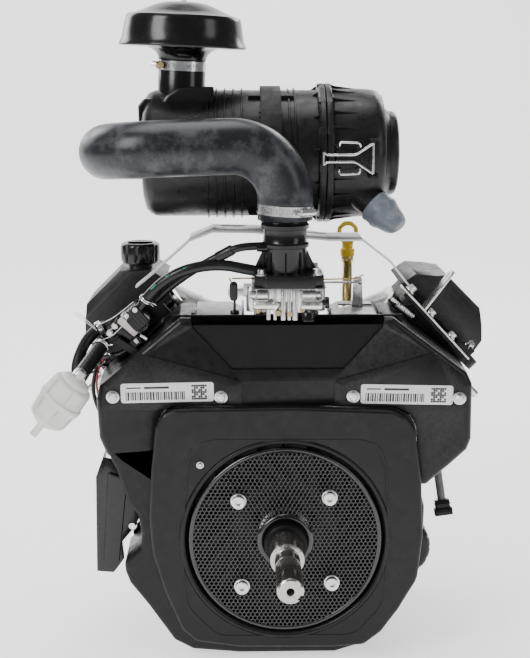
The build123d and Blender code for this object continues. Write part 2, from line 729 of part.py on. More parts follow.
with BuildPart() as intake_manifold:
    with BuildSketch(level(200)):
        with Locations((0, 84)):
            RectangleRounded(58, 84, 10)
    extrude(amount=MANIFOLD_TOP - 200)
    for side, depth in CYLINDER_DEPTH.items():
        x, rise = side * 129.4, 246.8
        add(rod((side * 18, 104, 212), (x, depth, rise), 16))
    for side, depth in CYLINDER_DEPTH.items():
        port = Plane(origin=bank(side, HEAD_SEAT + 26, 83.05, depth).origin,
                     x_dir=(0, 1, 0), z_dir=bank(side, 0).y_dir)
        with BuildSketch(port):
            SlotOverall(70, 34, rotation=0)
        extrude(amount=7)
        add(heads[side].part, mode=Mode.SUBTRACT)
        with BuildSketch(port.offset(0.02)):         # nothing left of the runner inside the port
            Rectangle(90, 90)
        extrude(amount=-60, mode=Mode.SUBTRACT)
    with BuildSketch(facing(112)):                   # arm that carries the governor lever's shaft
        with BuildLine():
            Polyline((20, 202), (90, 204), (98, 215), (90, 226), (20, 220), close=True)
        make_face()
    extrude(amount=3)
    with BuildSketch(facing(113, *GOVERNOR)):
        Circle(4.05)
    extrude(amount=6, mode=Mode.SUBTRACT)
save(intake_manifold, "intake_manifold")

with BuildPart() as carburetor:
    with BuildSketch(level(MANIFOLD_TOP)):
        with Locations((0, 60)):
            RectangleRounded(62, 46, 6)
    extrude(amount=34)
    with BuildSketch(level(MANIFOLD_TOP + 34)):      # throat casting with its side bosses
        with Locations((2, 58)):
            RectangleRounded(74, 42, 8)
    extrude(amount=20)
    with BuildSketch(level(276)):
        with Locations((2, 52)):
            RectangleRounded(80, 62, 14)
    extrude(amount=17)
    for x, depth, radius, low, high in ((-36, 40, 8, 262, 290), (38, 42, 8, 262, 290), (-14, 28, 7, 262, 286),
                                        (16, 27, 8, 264, 288), (30, 72, 7, 240, 276)):
        with BuildSketch(level(low, x, depth)):
            Circle(radius)
        extrude(amount=high - low)
    with BuildSketch(facing(92, *THROTTLE)):         # throttle shaft's boss and bore
        Circle(9)
    extrude(amount=14)
    with BuildSketch(facing(93, *THROTTLE)):
        Circle(4.05)
    extrude(amount=32, mode=Mode.SUBTRACT)
    with BuildSketch(facing(62, *CHOKE)):            # choke shaft's boss and bore
        Circle(7)
    extrude(amount=20)
    with BuildSketch(facing(58, *CHOKE)):
        with Locations((8, 0)):
            Rectangle(20, 9)
    extrude(amount=12)
    with BuildSketch(facing(63, *CHOKE)):
        Circle(3.05)
    extrude(amount=24, mode=Mode.SUBTRACT)
save(carburetor, "carburetor")

with BuildPart() as throttle_lever:
    with BuildSketch(facing(100, *THROTTLE)):
        Circle(4)
    extrude(amount=36)
    with BuildSketch(facing(97, *THROTTLE)):
        with BuildLine():
            Polyline((-6, -5), (6, -5), (5, 27), (-5, 27), close=True)
        make_face()
        fillet(vertices(), 3)
    extrude(amount=3)
save(throttle_lever, "throttle_lever")

with BuildPart() as choke_lever:
    with BuildSketch(facing(61, *CHOKE)):
        Circle(3)
    extrude(amount=24)
    with BuildSketch(facing(40, *CHOKE)):            # tall oval thumb grip
        Ellipse(5, 12)
    extrude(amount=6)
    with BuildSketch(facing(34, *CHOKE)):
        Ellipse(3.5, 9.5)
    extrude(amount=2)
save(choke_lever, "choke_lever")

with BuildPart() as governor_lever:
    with BuildSketch(facing(97, *GOVERNOR)):
        with BuildLine():
            Polyline((-9, -8), (9, -8), (7, 30), (5, 76), (-5, 76), (-7, 30), close=True)
        make_face()
        fillet(vertices(), 3)
    extrude(amount=3)
    with BuildSketch(facing(108.5, *GOVERNOR)):
        Circle(8)
    extrude(amount=11.5)
    with BuildSketch(facing(118, *GOVERNOR)):
        Circle(4)
    extrude(amount=12)
save(governor_lever, "governor_lever")

with BuildPart() as throttle_link:
    add(rod((37, 92, LINK_RISE), (92, 92, LINK_RISE), 1.4))
    for x in (38.5, 90.5):
        with BuildSketch(facing(93.4, x, LINK_RISE)):
            Circle(2.6)
        extrude(amount=2.8)
save(throttle_link, "throttle_link")

# ---------------------------------------------------------------- air adapter, hose and clamps
TOWER_TOP = 396.0
with BuildPart() as air_adapter:
    with BuildSketch(level(293, TOWER_X + 4, TOWER_DEPTH)):      # eight-sided flange on the carburetor
        Rectangle(78, 70)
        chamfer(vertices(), 12)
    extrude(amount=8)
    with BuildSketch(level(301, TOWER_X + 4, TOWER_DEPTH)) as flare_low:
        RectangleRounded(70, 62, 12)
    with BuildSketch(level(318, TOWER_X + 2, TOWER_DEPTH)) as flare_high:
        RectangleRounded(50, 50, 24.9)
    loft()
    for low, high, radius in ((318, TOWER_TOP, 25), (318, 323, 27.5), (336, 340, 27), (356, 362, 27.5)):
        with BuildSketch(level(low, TOWER_X, TOWER_DEPTH)):
            Circle(radius)
        extrude(amount=high - low)
    for angle in (200, 235, 270, 305, 340):                       # gussets down to the flange
        with BuildSketch(level(301, TOWER_X, TOWER_DEPTH)):
            with PolarLocations(27, 1, start_angle=angle):
                Rectangle(12, 4)
        extrude(amount=35)
    with BuildSketch(level(292, TOWER_X, TOWER_DEPTH)):
        Circle(20)
    extrude(amount=110, mode=Mode.SUBTRACT)
save(air_adapter, "air_adapter")

HOSE_ROUTE = [(-166, CANISTER_DEPTH, CANISTER_RISE), (-202, CANISTER_DEPTH, CANISTER_RISE),
              (-202, 14, 444),
              (TOWER_X, TOWER_DEPTH, 449), (TOWER_X, TOWER_DEPTH, 366)]
HOSE_BENDS = [34.0, 62.0, 60.0]

with BuildPart() as intake_hose:
    with BuildLine() as hose_path:
        FilletPolyline(*[Vector(*place(*p)) for p in HOSE_ROUTE], radius=HOSE_BENDS)
    with BuildSketch(Plane(origin=hose_path.line @ 0, z_dir=hose_path.line % 0)):
        Circle(HOSE_RADIUS)
        Circle(HOSE_BORE, mode=Mode.SUBTRACT)
    sweep()
save(intake_hose, "intake_hose")

with BuildPart() as hose_clamp:
    with BuildSketch(level(372, TOWER_X, TOWER_DEPTH)):
        Circle(HOSE_RADIUS + 1.0)
        Circle(HOSE_RADIUS + 0.05, mode=Mode.SUBTRACT)
    extrude(amount=11)
    with Locations(Location(place(TOWER_X + 22, TOWER_DEPTH - 27, 377.5), (0, 0, -40))):
        Box(15, 8, 9)
    add(intake_hose.part, mode=Mode.SUBTRACT)
save(hose_clamp, "hose_clamp")


# ---------------------------------------------------------------- canister air cleaner, its axis along X
def along_x(sections):
    """Round steps along the canister's axis, each (left x, right x, radius)."""
    with BuildPart(mode=Mode.PRIVATE) as steps:
        for left, right, radius in sections:
            with BuildSketch(across(left, CANISTER_DEPTH, CANISTER_RISE)):
                Circle(radius)
            extrude(amount=right - left)
    return steps.part


BODY_RADIUS, COVER_RADIUS, FLANGE_RADIUS = 75.0, 78.0, 83.0
COVER_JOINT = 50.0           # x where the cover leaves the body
FLANGE_WIDTH = 8.0           # of each half of the flange
INLET_RISE = 516.05          # foot of the pre-cleaner's stem
DRUM_LEFT = -165.0

with BuildPart() as canister_body:
    add(along_x([(DRUM_LEFT, COVER_JOINT, BODY_RADIUS),
                 (COVER_JOINT - FLANGE_WIDTH, COVER_JOINT, FLANGE_RADIUS)]))
    chamfer(canister_body.faces().sort_by(Axis.X)[0].edges(), 12)
    for x in (-89, -79, -69, -59, -49, 6, 13):       # stiffening rings
        with BuildSketch(across(x, CANISTER_DEPTH, CANISTER_RISE)):
            Circle(BODY_RADIUS + 2.4)
        extrude(amount=3)
    with BuildSketch(level(CANISTER_RISE + 50, CAP_X, CANISTER_DEPTH)):   # inlet boss on top
        Circle(36)
    extrude(amount=INLET_RISE - 0.05 - CANISTER_RISE - 50)
    add(along_x([(DRUM_LEFT + 4, DRUM_LEFT + 16, BODY_RADIUS - 16),
                 (DRUM_LEFT + 16, COVER_JOINT + 1, BODY_RADIUS - 4)]), mode=Mode.SUBTRACT)
    with BuildSketch(level(CANISTER_RISE + 30, CAP_X, CANISTER_DEPTH)):
        Circle(24)
    extrude(amount=60, mode=Mode.SUBTRACT)
    add(along_x([(DRUM_LEFT - 3, DRUM_LEFT + 4, 25.4)]))          # outlet pipe inside the hose
    add(along_x([(DRUM_LEFT - 4, DRUM_LEFT + 6, 22)]), mode=Mode.SUBTRACT)
save(canister_body, "canister_body")

LATCH_X = 104.0              # the latches' pins, which stand this far out from the canister's axis
LATCH_STAND = FLANGE_RADIUS + 3.2
LATCH_HOOK_X = 45.0          # where the bail hooks over the body's flange
RIB_START = COVER_JOINT + FLANGE_WIDTH
VALVE_ROOT = Vector(*place(96, CANISTER_DEPTH - 49, 384))
VALVE_AXIS = Vector(0.55, -0.45, -0.62).normalized()
VALVE_SPOUT = 24.0

with BuildPart() as canister_cover:
    add(along_x([(COVER_JOINT + 0.3, RIB_START, FLANGE_RADIUS), (RIB_START, 120, COVER_RADIUS),
                 (120, 138, 50)]))
    fillet(canister_cover.faces().sort_by(Axis.X)[-1].edges(), 5)
    for step in range(24):                           # tapered ribs round the cover
        with BuildSketch(Plane(origin=place(RIB_START, CANISTER_DEPTH, CANISTER_RISE), x_dir=(1, 0, 0),
                               z_dir=(0, cos(radians(15 * step)), sin(radians(15 * step))))):
            with BuildLine():
                Polyline((0, COVER_RADIUS - 2), (0, FLANGE_RADIUS - 1), (34, COVER_RADIUS - 0.5),
                         (34, COVER_RADIUS - 2), close=True)
            make_face()
        extrude(amount=1.5, both=True)
    add(along_x([(COVER_JOINT, 116, COVER_RADIUS - 4), (112, 134, 46)]), mode=Mode.SUBTRACT)
    with BuildSketch(Plane(origin=VALVE_ROOT, z_dir=VALVE_AXIS)):         # dust valve's spout
        Circle(18)
        Circle(14, mode=Mode.SUBTRACT)
    extrude(amount=VALVE_SPOUT)
    for outward in (-1, 1):                          # ears that hold the latches' pins
        for ear in (-17, 17):
            with Locations(Location(place(LATCH_X, CANISTER_DEPTH + outward * (LATCH_STAND - 5),
                                          CANISTER_RISE + ear))):
                Box(9, 17, 4)
        with BuildSketch(level(CANISTER_RISE - 25, LATCH_X, CANISTER_DEPTH + outward * LATCH_STAND)):
            Circle(1.55)
        extrude(amount=50, mode=Mode.SUBTRACT)
    add(along_x([(COVER_JOINT, 116, COVER_RADIUS - 4)]), mode=Mode.SUBTRACT)
save(canister_cover, "canister_cover")

with BuildPart() as filter_element:
    add(along_x([(-98, 104, 55), (-98, -92, 60), (98, 104, 60)]))
    add(along_x([(-99, 98, 34)]), mode=Mode.SUBTRACT)
save(filter_element, "filter_element")

with BuildPart() as dust_valve:
    for distance, radius in ((VALVE_SPOUT + 0.05, 20), (VALVE_SPOUT + 20, 20)):
        with BuildSketch(Plane(origin=VALVE_ROOT + VALVE_AXIS * distance, z_dir=VALVE_AXIS)):
            Circle(radius)
    with BuildSketch(Plane(origin=VALVE_ROOT + VALVE_AXIS * (VALVE_SPOUT + 32), z_dir=VALVE_AXIS)):
        Ellipse(16, 8)
    loft(ruled=True)
save(dust_valve, "dust_valve")


def latch(outward):
    """A wire bail: two legs from the pin back over the body's flange, outward is -1 in front, +1 behind."""
    depth = CANISTER_DEPTH + outward * LATCH_STAND
    rise = CANISTER_RISE
    with BuildPart() as bail:
        add(rod((LATCH_X, depth, rise - 19.5), (LATCH_X, depth, rise + 19.5), 1.5))
        for half in (-1, 1):
            add(rod((LATCH_X, depth, rise + 13 * half), (LATCH_X - 18, depth, rise + 4 * half), 1.5))
            add(rod((LATCH_X - 18, depth, rise + 4 * half), (LATCH_HOOK_X, depth, rise + 4 * half), 1.5))
        add(rod((LATCH_HOOK_X, depth, rise - 5.5), (LATCH_HOOK_X, depth, rise + 5.5), 1.5))
    return bail


latches = {}
for outward, word in ((-1, "front"), (1, "rear")):
    latches[word] = latch(outward)
    save(latches[word], f"latch_{word}")

# ---------------------------------------------------------------- pre-cleaner on the canister's inlet
LEAN = Vector(sin(radians(2.5)), 0, cos(radians(2.5)))


def stem(height):
    """A plane square to the pre-cleaner's leaning stem, this far above its foot."""
    return Plane(origin=Vector(*place(CAP_X, CANISTER_DEPTH, INLET_RISE)) + LEAN * height,
                 x_dir=(0, 1, 0), z_dir=LEAN)


with BuildPart() as inlet_neck:
    for low, high, radius in ((1.2, 6, 35), (6, 27, 28)):
        with BuildSketch(stem(low)):
            Circle(radius)
        extrude(amount=high - low)
    with BuildSketch(stem(0)):
        Circle(24)
    extrude(amount=40, mode=Mode.SUBTRACT)
    with BuildSketch(level(INLET_RISE + 0.01, CAP_X, CANISTER_DEPTH)):
        Circle(60)
    extrude(amount=-20, mode=Mode.SUBTRACT)
save(inlet_neck, "inlet_neck")

with BuildPart() as upright_cap:
    with BuildSketch(facing(CANISTER_DEPTH, CAP_X, INLET_RISE)):
        with BuildLine():
            Polyline((24, 27.1), (29, 27.1), (30, 36), (66, 41), (75, 39.5), (74, 46), (64, 74), (58, 78),
                     (24, 89), (0, 91), (0, 88), (24, 85), (56, 74), (66, 52), (62, 47), (24, 42), close=True)
        make_face()
    revolve(axis=Axis(place(CAP_X, CANISTER_DEPTH, INLET_RISE), (0, 0, 1)))
with BuildPart() as precleaner_cap:
    add(upright_cap.part.rotate(Axis(place(CAP_X, CANISTER_DEPTH, INLET_RISE), (0, 1, 0)), 2.5))
save(precleaner_cap, "precleaner_cap")

with BuildPart() as neck_clamp:
    with BuildSketch(stem(12)):
        Circle(29.2)
        Circle(28.05, mode=Mode.SUBTRACT)
    extrude(amount=11)
    screw = Vector(*place(CAP_X, CANISTER_DEPTH, INLET_RISE)) + LEAN * 17.5 + Vector(-21, -25, 0)
    with Locations(Location(screw, (0, 0, 40))):
        Box(13, 9, 9)
    with BuildSketch(stem(8)):
        Circle(28.05)
    extrude(amount=22, mode=Mode.SUBTRACT)
save(neck_clamp, "neck_clamp")

# ---------------------------------------------------------------- strap and band that carry the canister
STRAP = 2.5
STRAP_LINE = [(-150, 299), (-138.6, 309.6), (-109, 335.5), (-82, 346), (-33, 345), (54.5, 335.5), (92, 335.5),
              (125.6, 309.6), (152, 276)]


def ribbon(points, front_depth, back_depth):
    """A bent strip through (x, rise) points, as wide as the two depths say."""
    with BuildPart(mode=Mode.PRIVATE) as strip:
        with BuildSketch(facing(back_depth)):
            for start, end in zip(points, points[1:]):
                run = Vector(end) - Vector(start)
                with Locations((Vector(start) + Vector(end)) * 0.5):
                    Rectangle(run.length, STRAP, rotation=degrees(atan2(run.Y, run.X)))
            with Locations(*points):
                Circle(STRAP / 2)
        extrude(amount=back_depth - front_depth)
    return strip.part


with BuildPart() as support_strap:
    add(ribbon(STRAP_LINE, 88, 106))
    add(ribbon(STRAP_LINE[2:7], 88, 146))
    add(ribbon([STRAP_LINE[0], (-172, 281)], 88, 106))
    with BuildSketch(level(340, -12, 128)):          # slots and the band's bolt hole
        with Locations((-48, 0), (52, 0)):
            SlotOverall(26, 9)
        Circle(4.2)
    extrude(amount=20, both=True, mode=Mode.SUBTRACT)
save(support_strap, "support_strap")

with BuildPart() as hanger_band:
    with BuildSketch(across(-26, CANISTER_DEPTH, CANISTER_RISE)):
        Circle(BODY_RADIUS + 4.9)
        Circle(BODY_RADIUS + 2.45, mode=Mode.SUBTRACT)
    extrude(amount=24)
    with BuildSketch(level(345.8, -14, 128)):
        RectangleRounded(22, 30, 3)
    extrude(amount=20)
    add(along_x([(-40, 10, BODY_RADIUS + 2.45)]), mode=Mode.SUBTRACT)
    with BuildSketch(level(345, -12, 128)):
        Circle(4.2)
    extrude(amount=12, mode=Mode.SUBTRACT)
save(hanger_band, "hanger_band")

# ---------------------------------------------------------------- oil filler, dipstick, filter and drain
with BuildPart() as oil_fill_cap:
    with BuildSketch(level(FILL_RISE + 1, FILL_X, FILL_DEPTH)):
        Circle(23.9)
    extrude(amount=26)
    top_edge = oil_fill_cap.faces().sort_by(Axis.Z)[-1].edges()
    chamfer(top_edge, 2.5)
    with BuildSketch(level(FILL_RISE, FILL_X, FILL_DEPTH)):
        with PolarLocations(25, 20):
            Circle(1.9)
    extrude(amount=22, mode=Mode.SUBTRACT)
    with BuildSketch(level(FILL_RISE, FILL_X, FILL_DEPTH)):
        Circle(15.1)
    extrude(amount=9, mode=Mode.SUBTRACT)
save(oil_fill_cap, "oil_fill_cap")

STICK_X, STICK_DEPTH = 89.6, 252.0
with BuildPart() as dipstick_tube:
    with BuildLine() as tube_line:
        FilletPolyline(place(16, STICK_DEPTH, 109.65), place(20, STICK_DEPTH, 135),
                       place(STICK_X, STICK_DEPTH, 205), place(STICK_X, STICK_DEPTH, 291), radius=[12, 40])
    with BuildSketch(Plane(origin=tube_line.line @ 0, z_dir=tube_line.line % 0)):
        Circle(6.5)
        Circle(4.8, mode=Mode.SUBTRACT)
    sweep()
    with BuildSketch(level(109.65, 16, STICK_DEPTH)):
        Rectangle(40, 40)
    extrude(amount=-10, mode=Mode.SUBTRACT)
save(dipstick_tube, "dipstick_tube")

with BuildPart() as dipstick:
    with BuildSketch(level(291.3, STICK_X, STICK_DEPTH)):
        Circle(9)
    extrude(amount=9)
    with BuildSketch(level(300, STICK_X, STICK_DEPTH)):
        Circle(4)
    extrude(amount=16)
    with BuildSketch(facing(STICK_DEPTH, STICK_X, 325)):
        Circle(11.5)
        Circle(7.5, mode=Mode.SUBTRACT)
    extrude(amount=2.5, both=True)
    with BuildSketch(level(232, STICK_X, STICK_DEPTH)):
        Circle(4.0)
    extrude(amount=60)
save(dipstick, "dipstick")

with BuildPart() as oil_filter:
    with BuildSketch(facing(FILTER_SEAT - 0.05, FILTER_X, FILTER_RISE)):
        Circle(FILTER_RADIUS - 1)
    extrude(amount=5)
    with BuildSketch(facing(FILTER_SEAT - 5, FILTER_X, FILTER_RISE)):
        Circle(FILTER_RADIUS)
    extrude(amount=FILTER_SEAT - 5 - FILTER_FRONT)
    fillet(oil_filter.faces().sort_by(Axis.Y)[0].edges(), 8)
    with BuildSketch(facing(FILTER_FRONT + 17, FILTER_X, FILTER_RISE)):  # flutes for the wrench
        with PolarLocations(FILTER_RADIUS + 0.6, 16):
            Circle(3)
    extrude(amount=18, mode=Mode.SUBTRACT)
save(oil_filter, "oil_filter")


# ---------------------------------------------------------------- starter behind its guard, on the left
PINION_RADIUS = 11.9

with BuildPart() as starter_motor:
    with BuildSketch(facing(232, *STARTER)):
        Circle(32)
    extrude(amount=124)
    fillet(starter_motor.faces().sort_by(Axis.Y)[-1].edges(), 4)
    with BuildSketch(facing(116, *STARTER)):         # nose and mounting ears
        SlotOverall(84, 34, rotation=90)
        Circle(24)
    extrude(amount=10)
    with BuildSketch(facing(108, *STARTER)):
        Circle(15)
    extrude(amount=7)
    with BuildSketch(facing(212, -162, 36)):         # solenoid and the bridge under it
        Circle(17)
    extrude(amount=72)
    with BuildSketch(facing(205, -152, 20)):
        Rectangle(18, 26, rotation=25)
    extrude(amount=56)
    for offset_x in (-7, 7):
        with BuildSketch(facing(224, -162 + offset_x, 38)):
            Circle(3)
        extrude(amount=14)
    with BuildSketch(facing(150, *STARTER)):
        Circle(5.05)
    extrude(amount=50, mode=Mode.SUBTRACT)
save(starter_motor, "starter_motor")

with BuildPart() as starter_pinion:
    with BuildSketch(facing(100, *STARTER)):
        Circle(PINION_RADIUS)
        with PolarLocations(PINION_RADIUS + 0.2, 10):
            Circle(1.9, mode=Mode.SUBTRACT)
    extrude(amount=14)
    with BuildSketch(facing(135, *STARTER)):
        Circle(5)
    extrude(amount=52)
save(starter_pinion, "starter_pinion")

with BuildPart() as starter_guard:
    with BuildSketch(facing(50)):
        with BuildLine():
            Polyline((-212, 86), (-200, 83), (-160, 54), (-161, 36), (-175, 2), (-192, -19), (-190, -40),
                     (-203, -58), (-223, -56), (-221, 62), close=True)
        make_face()
        fillet(vertices(), 3)
    extrude(amount=3)
    with BuildSketch(facing(118)):                   # its side turns back along the starter
        with BuildLine():
            Polyline((-212, 86), (-221, 62), (-223, -56), (-220, -56), (-218, 62), (-209.5, 84), close=True)
        make_face()
    extrude(amount=71)
    with BuildSketch(facing(47)):                    # pressed-out panel on the face
        with BuildLine():
            Polyline((-207, 70), (-184, 60), (-196, -45), (-215, -45), close=True)
        make_face()
        fillet(vertices(), 4)
    extrude(amount=2.5, taper=20)
    add(starter_motor.part, mode=Mode.SUBTRACT)
save(starter_guard, "starter_guard")

# ---------------------------------------------------------------- fuel pump, filter and hoses, on the left
SHOULDER = degrees(atan2(78, 93))
PUMP_AT = (-187.0, 236.0)
with BuildPart() as fuel_pump:
    with BuildSketch(facing(84, *PUMP_AT)):
        RectangleRounded(58, 30, 5, rotation=SHOULDER)
    extrude(amount=46)
    with BuildSketch(facing(38, *PUMP_AT)):
        RectangleRounded(40, 22, 6, rotation=SHOULDER)
    extrude(amount=8)
    with BuildSketch(facing(88, -214, 214)):
        RectangleRounded(26, 24, 5, rotation=SHOULDER)
    extrude(amount=44)
    for x, rise in ((-167, 258), (-196, 248), (-221, 205)):
        with BuildSketch(facing(72, x, rise)):
            Circle(5)
        extrude(amount=24)
save(fuel_pump, "fuel_pump")

SHOULDER_OUT = Vector(-sin(radians(SHOULDER)), 0, cos(radians(SHOULDER)))
with BuildPart() as pump_bracket:
    with BuildSketch(facing(87.05, -178, 235)):      # plate behind the pump
        Rectangle(92, 33, rotation=SHOULDER)
    extrude(amount=3)
    with BuildSketch(Plane(origin=Vector(*place(-166.5, 72, 221)) + SHOULDER_OUT * 0.3,
                           x_dir=(0, 1, 0), z_dir=SHOULDER_OUT)):
        Rectangle(30, 70)                            # foot on the housing's shoulder
    extrude(amount=2.5)
    with BuildSketch(facing(87.05)):                 # ear that clamps the hoses
        with BuildLine():
            Polyline((-160, 258), (-129, 266), (-143, 294), close=True)
        make_face()
    extrude(amount=3)
    add(fuel_pump.part, mode=Mode.SUBTRACT)
    add(upper_housing.part, mode=Mode.SUBTRACT)
save(pump_bracket, "pump_bracket")

FILTER_TOP, FILTER_END, FUEL_FILTER_DEPTH = (-236.0, 193.0), (-291.0, 126.0), -14.0
with BuildPart() as fuel_filter:
    top = Vector(*place(FILTER_TOP[0], FUEL_FILTER_DEPTH, FILTER_TOP[1]))
    end = Vector(*place(FILTER_END[0], FUEL_FILTER_DEPTH, FILTER_END[1]))
    along = (end - top).normalized()
    for low, high, radius in ((-14, 0, 4.5), (0, 10, 17), (10, 38, 23.5), (38, 42, 26), (42, 66, 22),
                              (66, 76, 14), (76, 92, 4.5)):
        with BuildSketch(Plane(origin=top + along * low, z_dir=along)):
            Circle(radius)
        extrude(amount=high - low)
    fillet(fuel_filter.edges().filter_by(GeomType.CIRCLE).filter_by(
        lambda e: abs(e.radius - 22) < 0.1 or abs(e.radius - 23.5) < 0.1), 1.5)
save(fuel_filter, "fuel_filter")

HOSE_RUNS = {
    "breather": ([(-170, 48, 262), (-142, 42, 284), (-104, 28, 296), (-66, 26, 316), (-28, 34, 327)], 5.0),
    "fuel": ([(-162, 66, 262), (-134, 62, 284), (-104, 46, 299), (-68, 38, 305), (-36, 38, 302)], 6.0),
}
with BuildPart() as fuel_hoses:
    for route, radius in HOSE_RUNS.values():
        add(hose(route, radius, 0))
    add(hose([(-229, 60, 196), (-240, 40, 214), (-236, 8, 212), (-225, -14, 206)], 6.0, 0))
    add(fuel_pump.part, mode=Mode.SUBTRACT)
    add(fuel_filter.part, mode=Mode.SUBTRACT)
    add(air_adapter.part, mode=Mode.SUBTRACT)
    add(upper_housing.part, mode=Mode.SUBTRACT)
    add(pump_bracket.part, mode=Mode.SUBTRACT)
save(fuel_hoses, "fuel_hoses")

# ---------------------------------------------------------------- right-hand bracket and the hanging loom
RIGHT_SLOPE = degrees(atan2(-65, 86))
with BuildPart() as control_bracket:
    with BuildSketch(facing(96)):
        with BuildLine():
            Polyline((143, 268), (152, 276), (222, 214), (216, 204), close=True)
        make_face()
    extrude(amount=2.5)
    with BuildSketch(facing(78)):
        with BuildLine():
            Polyline((164, 254), (169, 250), (206, 297), (200, 301), close=True)
        make_face()
    extrude(amount=2.5)
    with BuildSketch(facing(96)):
        with BuildLine():
            Polyline((164, 254), (169, 250), (173, 255), (168, 259), close=True)
        make_face()
    extrude(amount=20)
    with BuildSketch(facing(96)):
        with BuildLine():
            Polyline((141, 266), (146, 271), (220, 207), (216, 200), close=True)
        make_face()
    extrude(amount=26)
    with BuildSketch(facing(93)):
        with BuildLine():
            Polyline((145, 267), (146, 271), (220, 207), (220, 204), close=True)
        make_face()
    extrude(amount=30, mode=Mode.SUBTRACT)
    add(upper_housing.part, mode=Mode.SUBTRACT)
    add(support_strap.part, mode=Mode.SUBTRACT)
save(control_bracket, "control_bracket")

with BuildPart() as loom_clip:                       # on the upper housing's back edge
    with BuildSketch(facing(SHROUD_DEPTH + 2.05, 203, 90)):
        Rectangle(20, 9)
    extrude(amount=2)
    with BuildSketch(level(86.2, 192, 104)):
        Circle(8)
    extrude(amount=9)
save(loom_clip, "loom_clip")

LOOM_ROUTE = [(192, 104, 85), (190, 103, 68), (190, 99, 50), (192.5, 94, 32), (195, 90, 14)]
LOOM_RADIUS = 5.0
print("loom bend radii, mm:", [round(r, 1) for r in bend_radii(LOOM_ROUTE)])
with BuildPart() as loom:
    add(hose(LOOM_ROUTE, LOOM_RADIUS, 0))
save(loom, "loom")

with BuildPart() as loom_connector:
    end = Vector(*place(*LOOM_ROUTE[-1]))
    along = (end - Vector(*place(*LOOM_ROUTE[-2]))).normalized()
    with BuildSketch(Plane(origin=end, x_dir=(1, 0, 0.18), z_dir=along)):
        RectangleRounded(19, 13, 2)
    extrude(amount=9)
    with BuildSketch(Plane(origin=end + along * 9, x_dir=(1, 0, 0.18), z_dir=along)):
        RectangleRounded(22, 15, 2)
    extrude(amount=9)
save(loom_connector, "loom_connector")
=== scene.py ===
"""Looks of the 90 degree V-twin engine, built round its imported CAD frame.

Places are given as in the part's own drawing: at(x, depth, rise) in millimetres. Depth is measured back from
the fan opening's plane, and rise up from the crankshaft's axis.
"""
from math import atan2, cos, pi, radians, sin, sqrt

import bmesh
import bpy
from mathutils import Matrix, Vector


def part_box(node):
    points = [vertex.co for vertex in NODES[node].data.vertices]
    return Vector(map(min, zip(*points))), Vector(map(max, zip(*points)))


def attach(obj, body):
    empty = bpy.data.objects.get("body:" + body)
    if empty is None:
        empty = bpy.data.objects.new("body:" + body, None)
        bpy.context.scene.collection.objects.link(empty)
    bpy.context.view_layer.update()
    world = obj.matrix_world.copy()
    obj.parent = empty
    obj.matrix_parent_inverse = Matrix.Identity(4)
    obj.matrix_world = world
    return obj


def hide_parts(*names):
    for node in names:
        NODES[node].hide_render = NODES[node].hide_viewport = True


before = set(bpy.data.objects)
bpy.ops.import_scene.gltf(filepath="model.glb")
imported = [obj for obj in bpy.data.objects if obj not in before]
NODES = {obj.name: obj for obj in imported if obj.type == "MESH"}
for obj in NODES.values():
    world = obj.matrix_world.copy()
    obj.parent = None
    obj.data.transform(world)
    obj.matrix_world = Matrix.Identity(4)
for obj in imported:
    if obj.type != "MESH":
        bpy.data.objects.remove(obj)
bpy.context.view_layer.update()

MM = 0.001
CRANK_HEIGHT, OPENING_BEHIND = 150.0, 190.0


def at(x, depth, rise):
    """A place of the row frame, in metres."""
    return Vector((x, depth - OPENING_BEHIND, rise + CRANK_HEIGHT)) * MM


RIGHT, BACK, UP = Vector((1, 0, 0)), Vector((0, 1, 0)), Vector((0, 0, 1))
FRONT = -BACK


def linked(name, data):
    """An object that holds the data, in the scene."""
    made = bpy.data.objects.new(name, data)
    bpy.context.scene.collection.objects.link(made)
    return made


# ================================================================ camera
def make_camera():
    data = bpy.data.cameras.new("camera")
    data.lens, data.sensor_width = 66.96, 36.0
    data.clip_start, data.clip_end = 0.05, 60.0
    camera = linked("camera", data)
    camera.location = (-0.0532, -1.5142, 0.6891)
    camera.rotation_euler = (radians(77.655), 0.0, radians(-1.288))
    bpy.context.scene.camera = camera


make_camera()


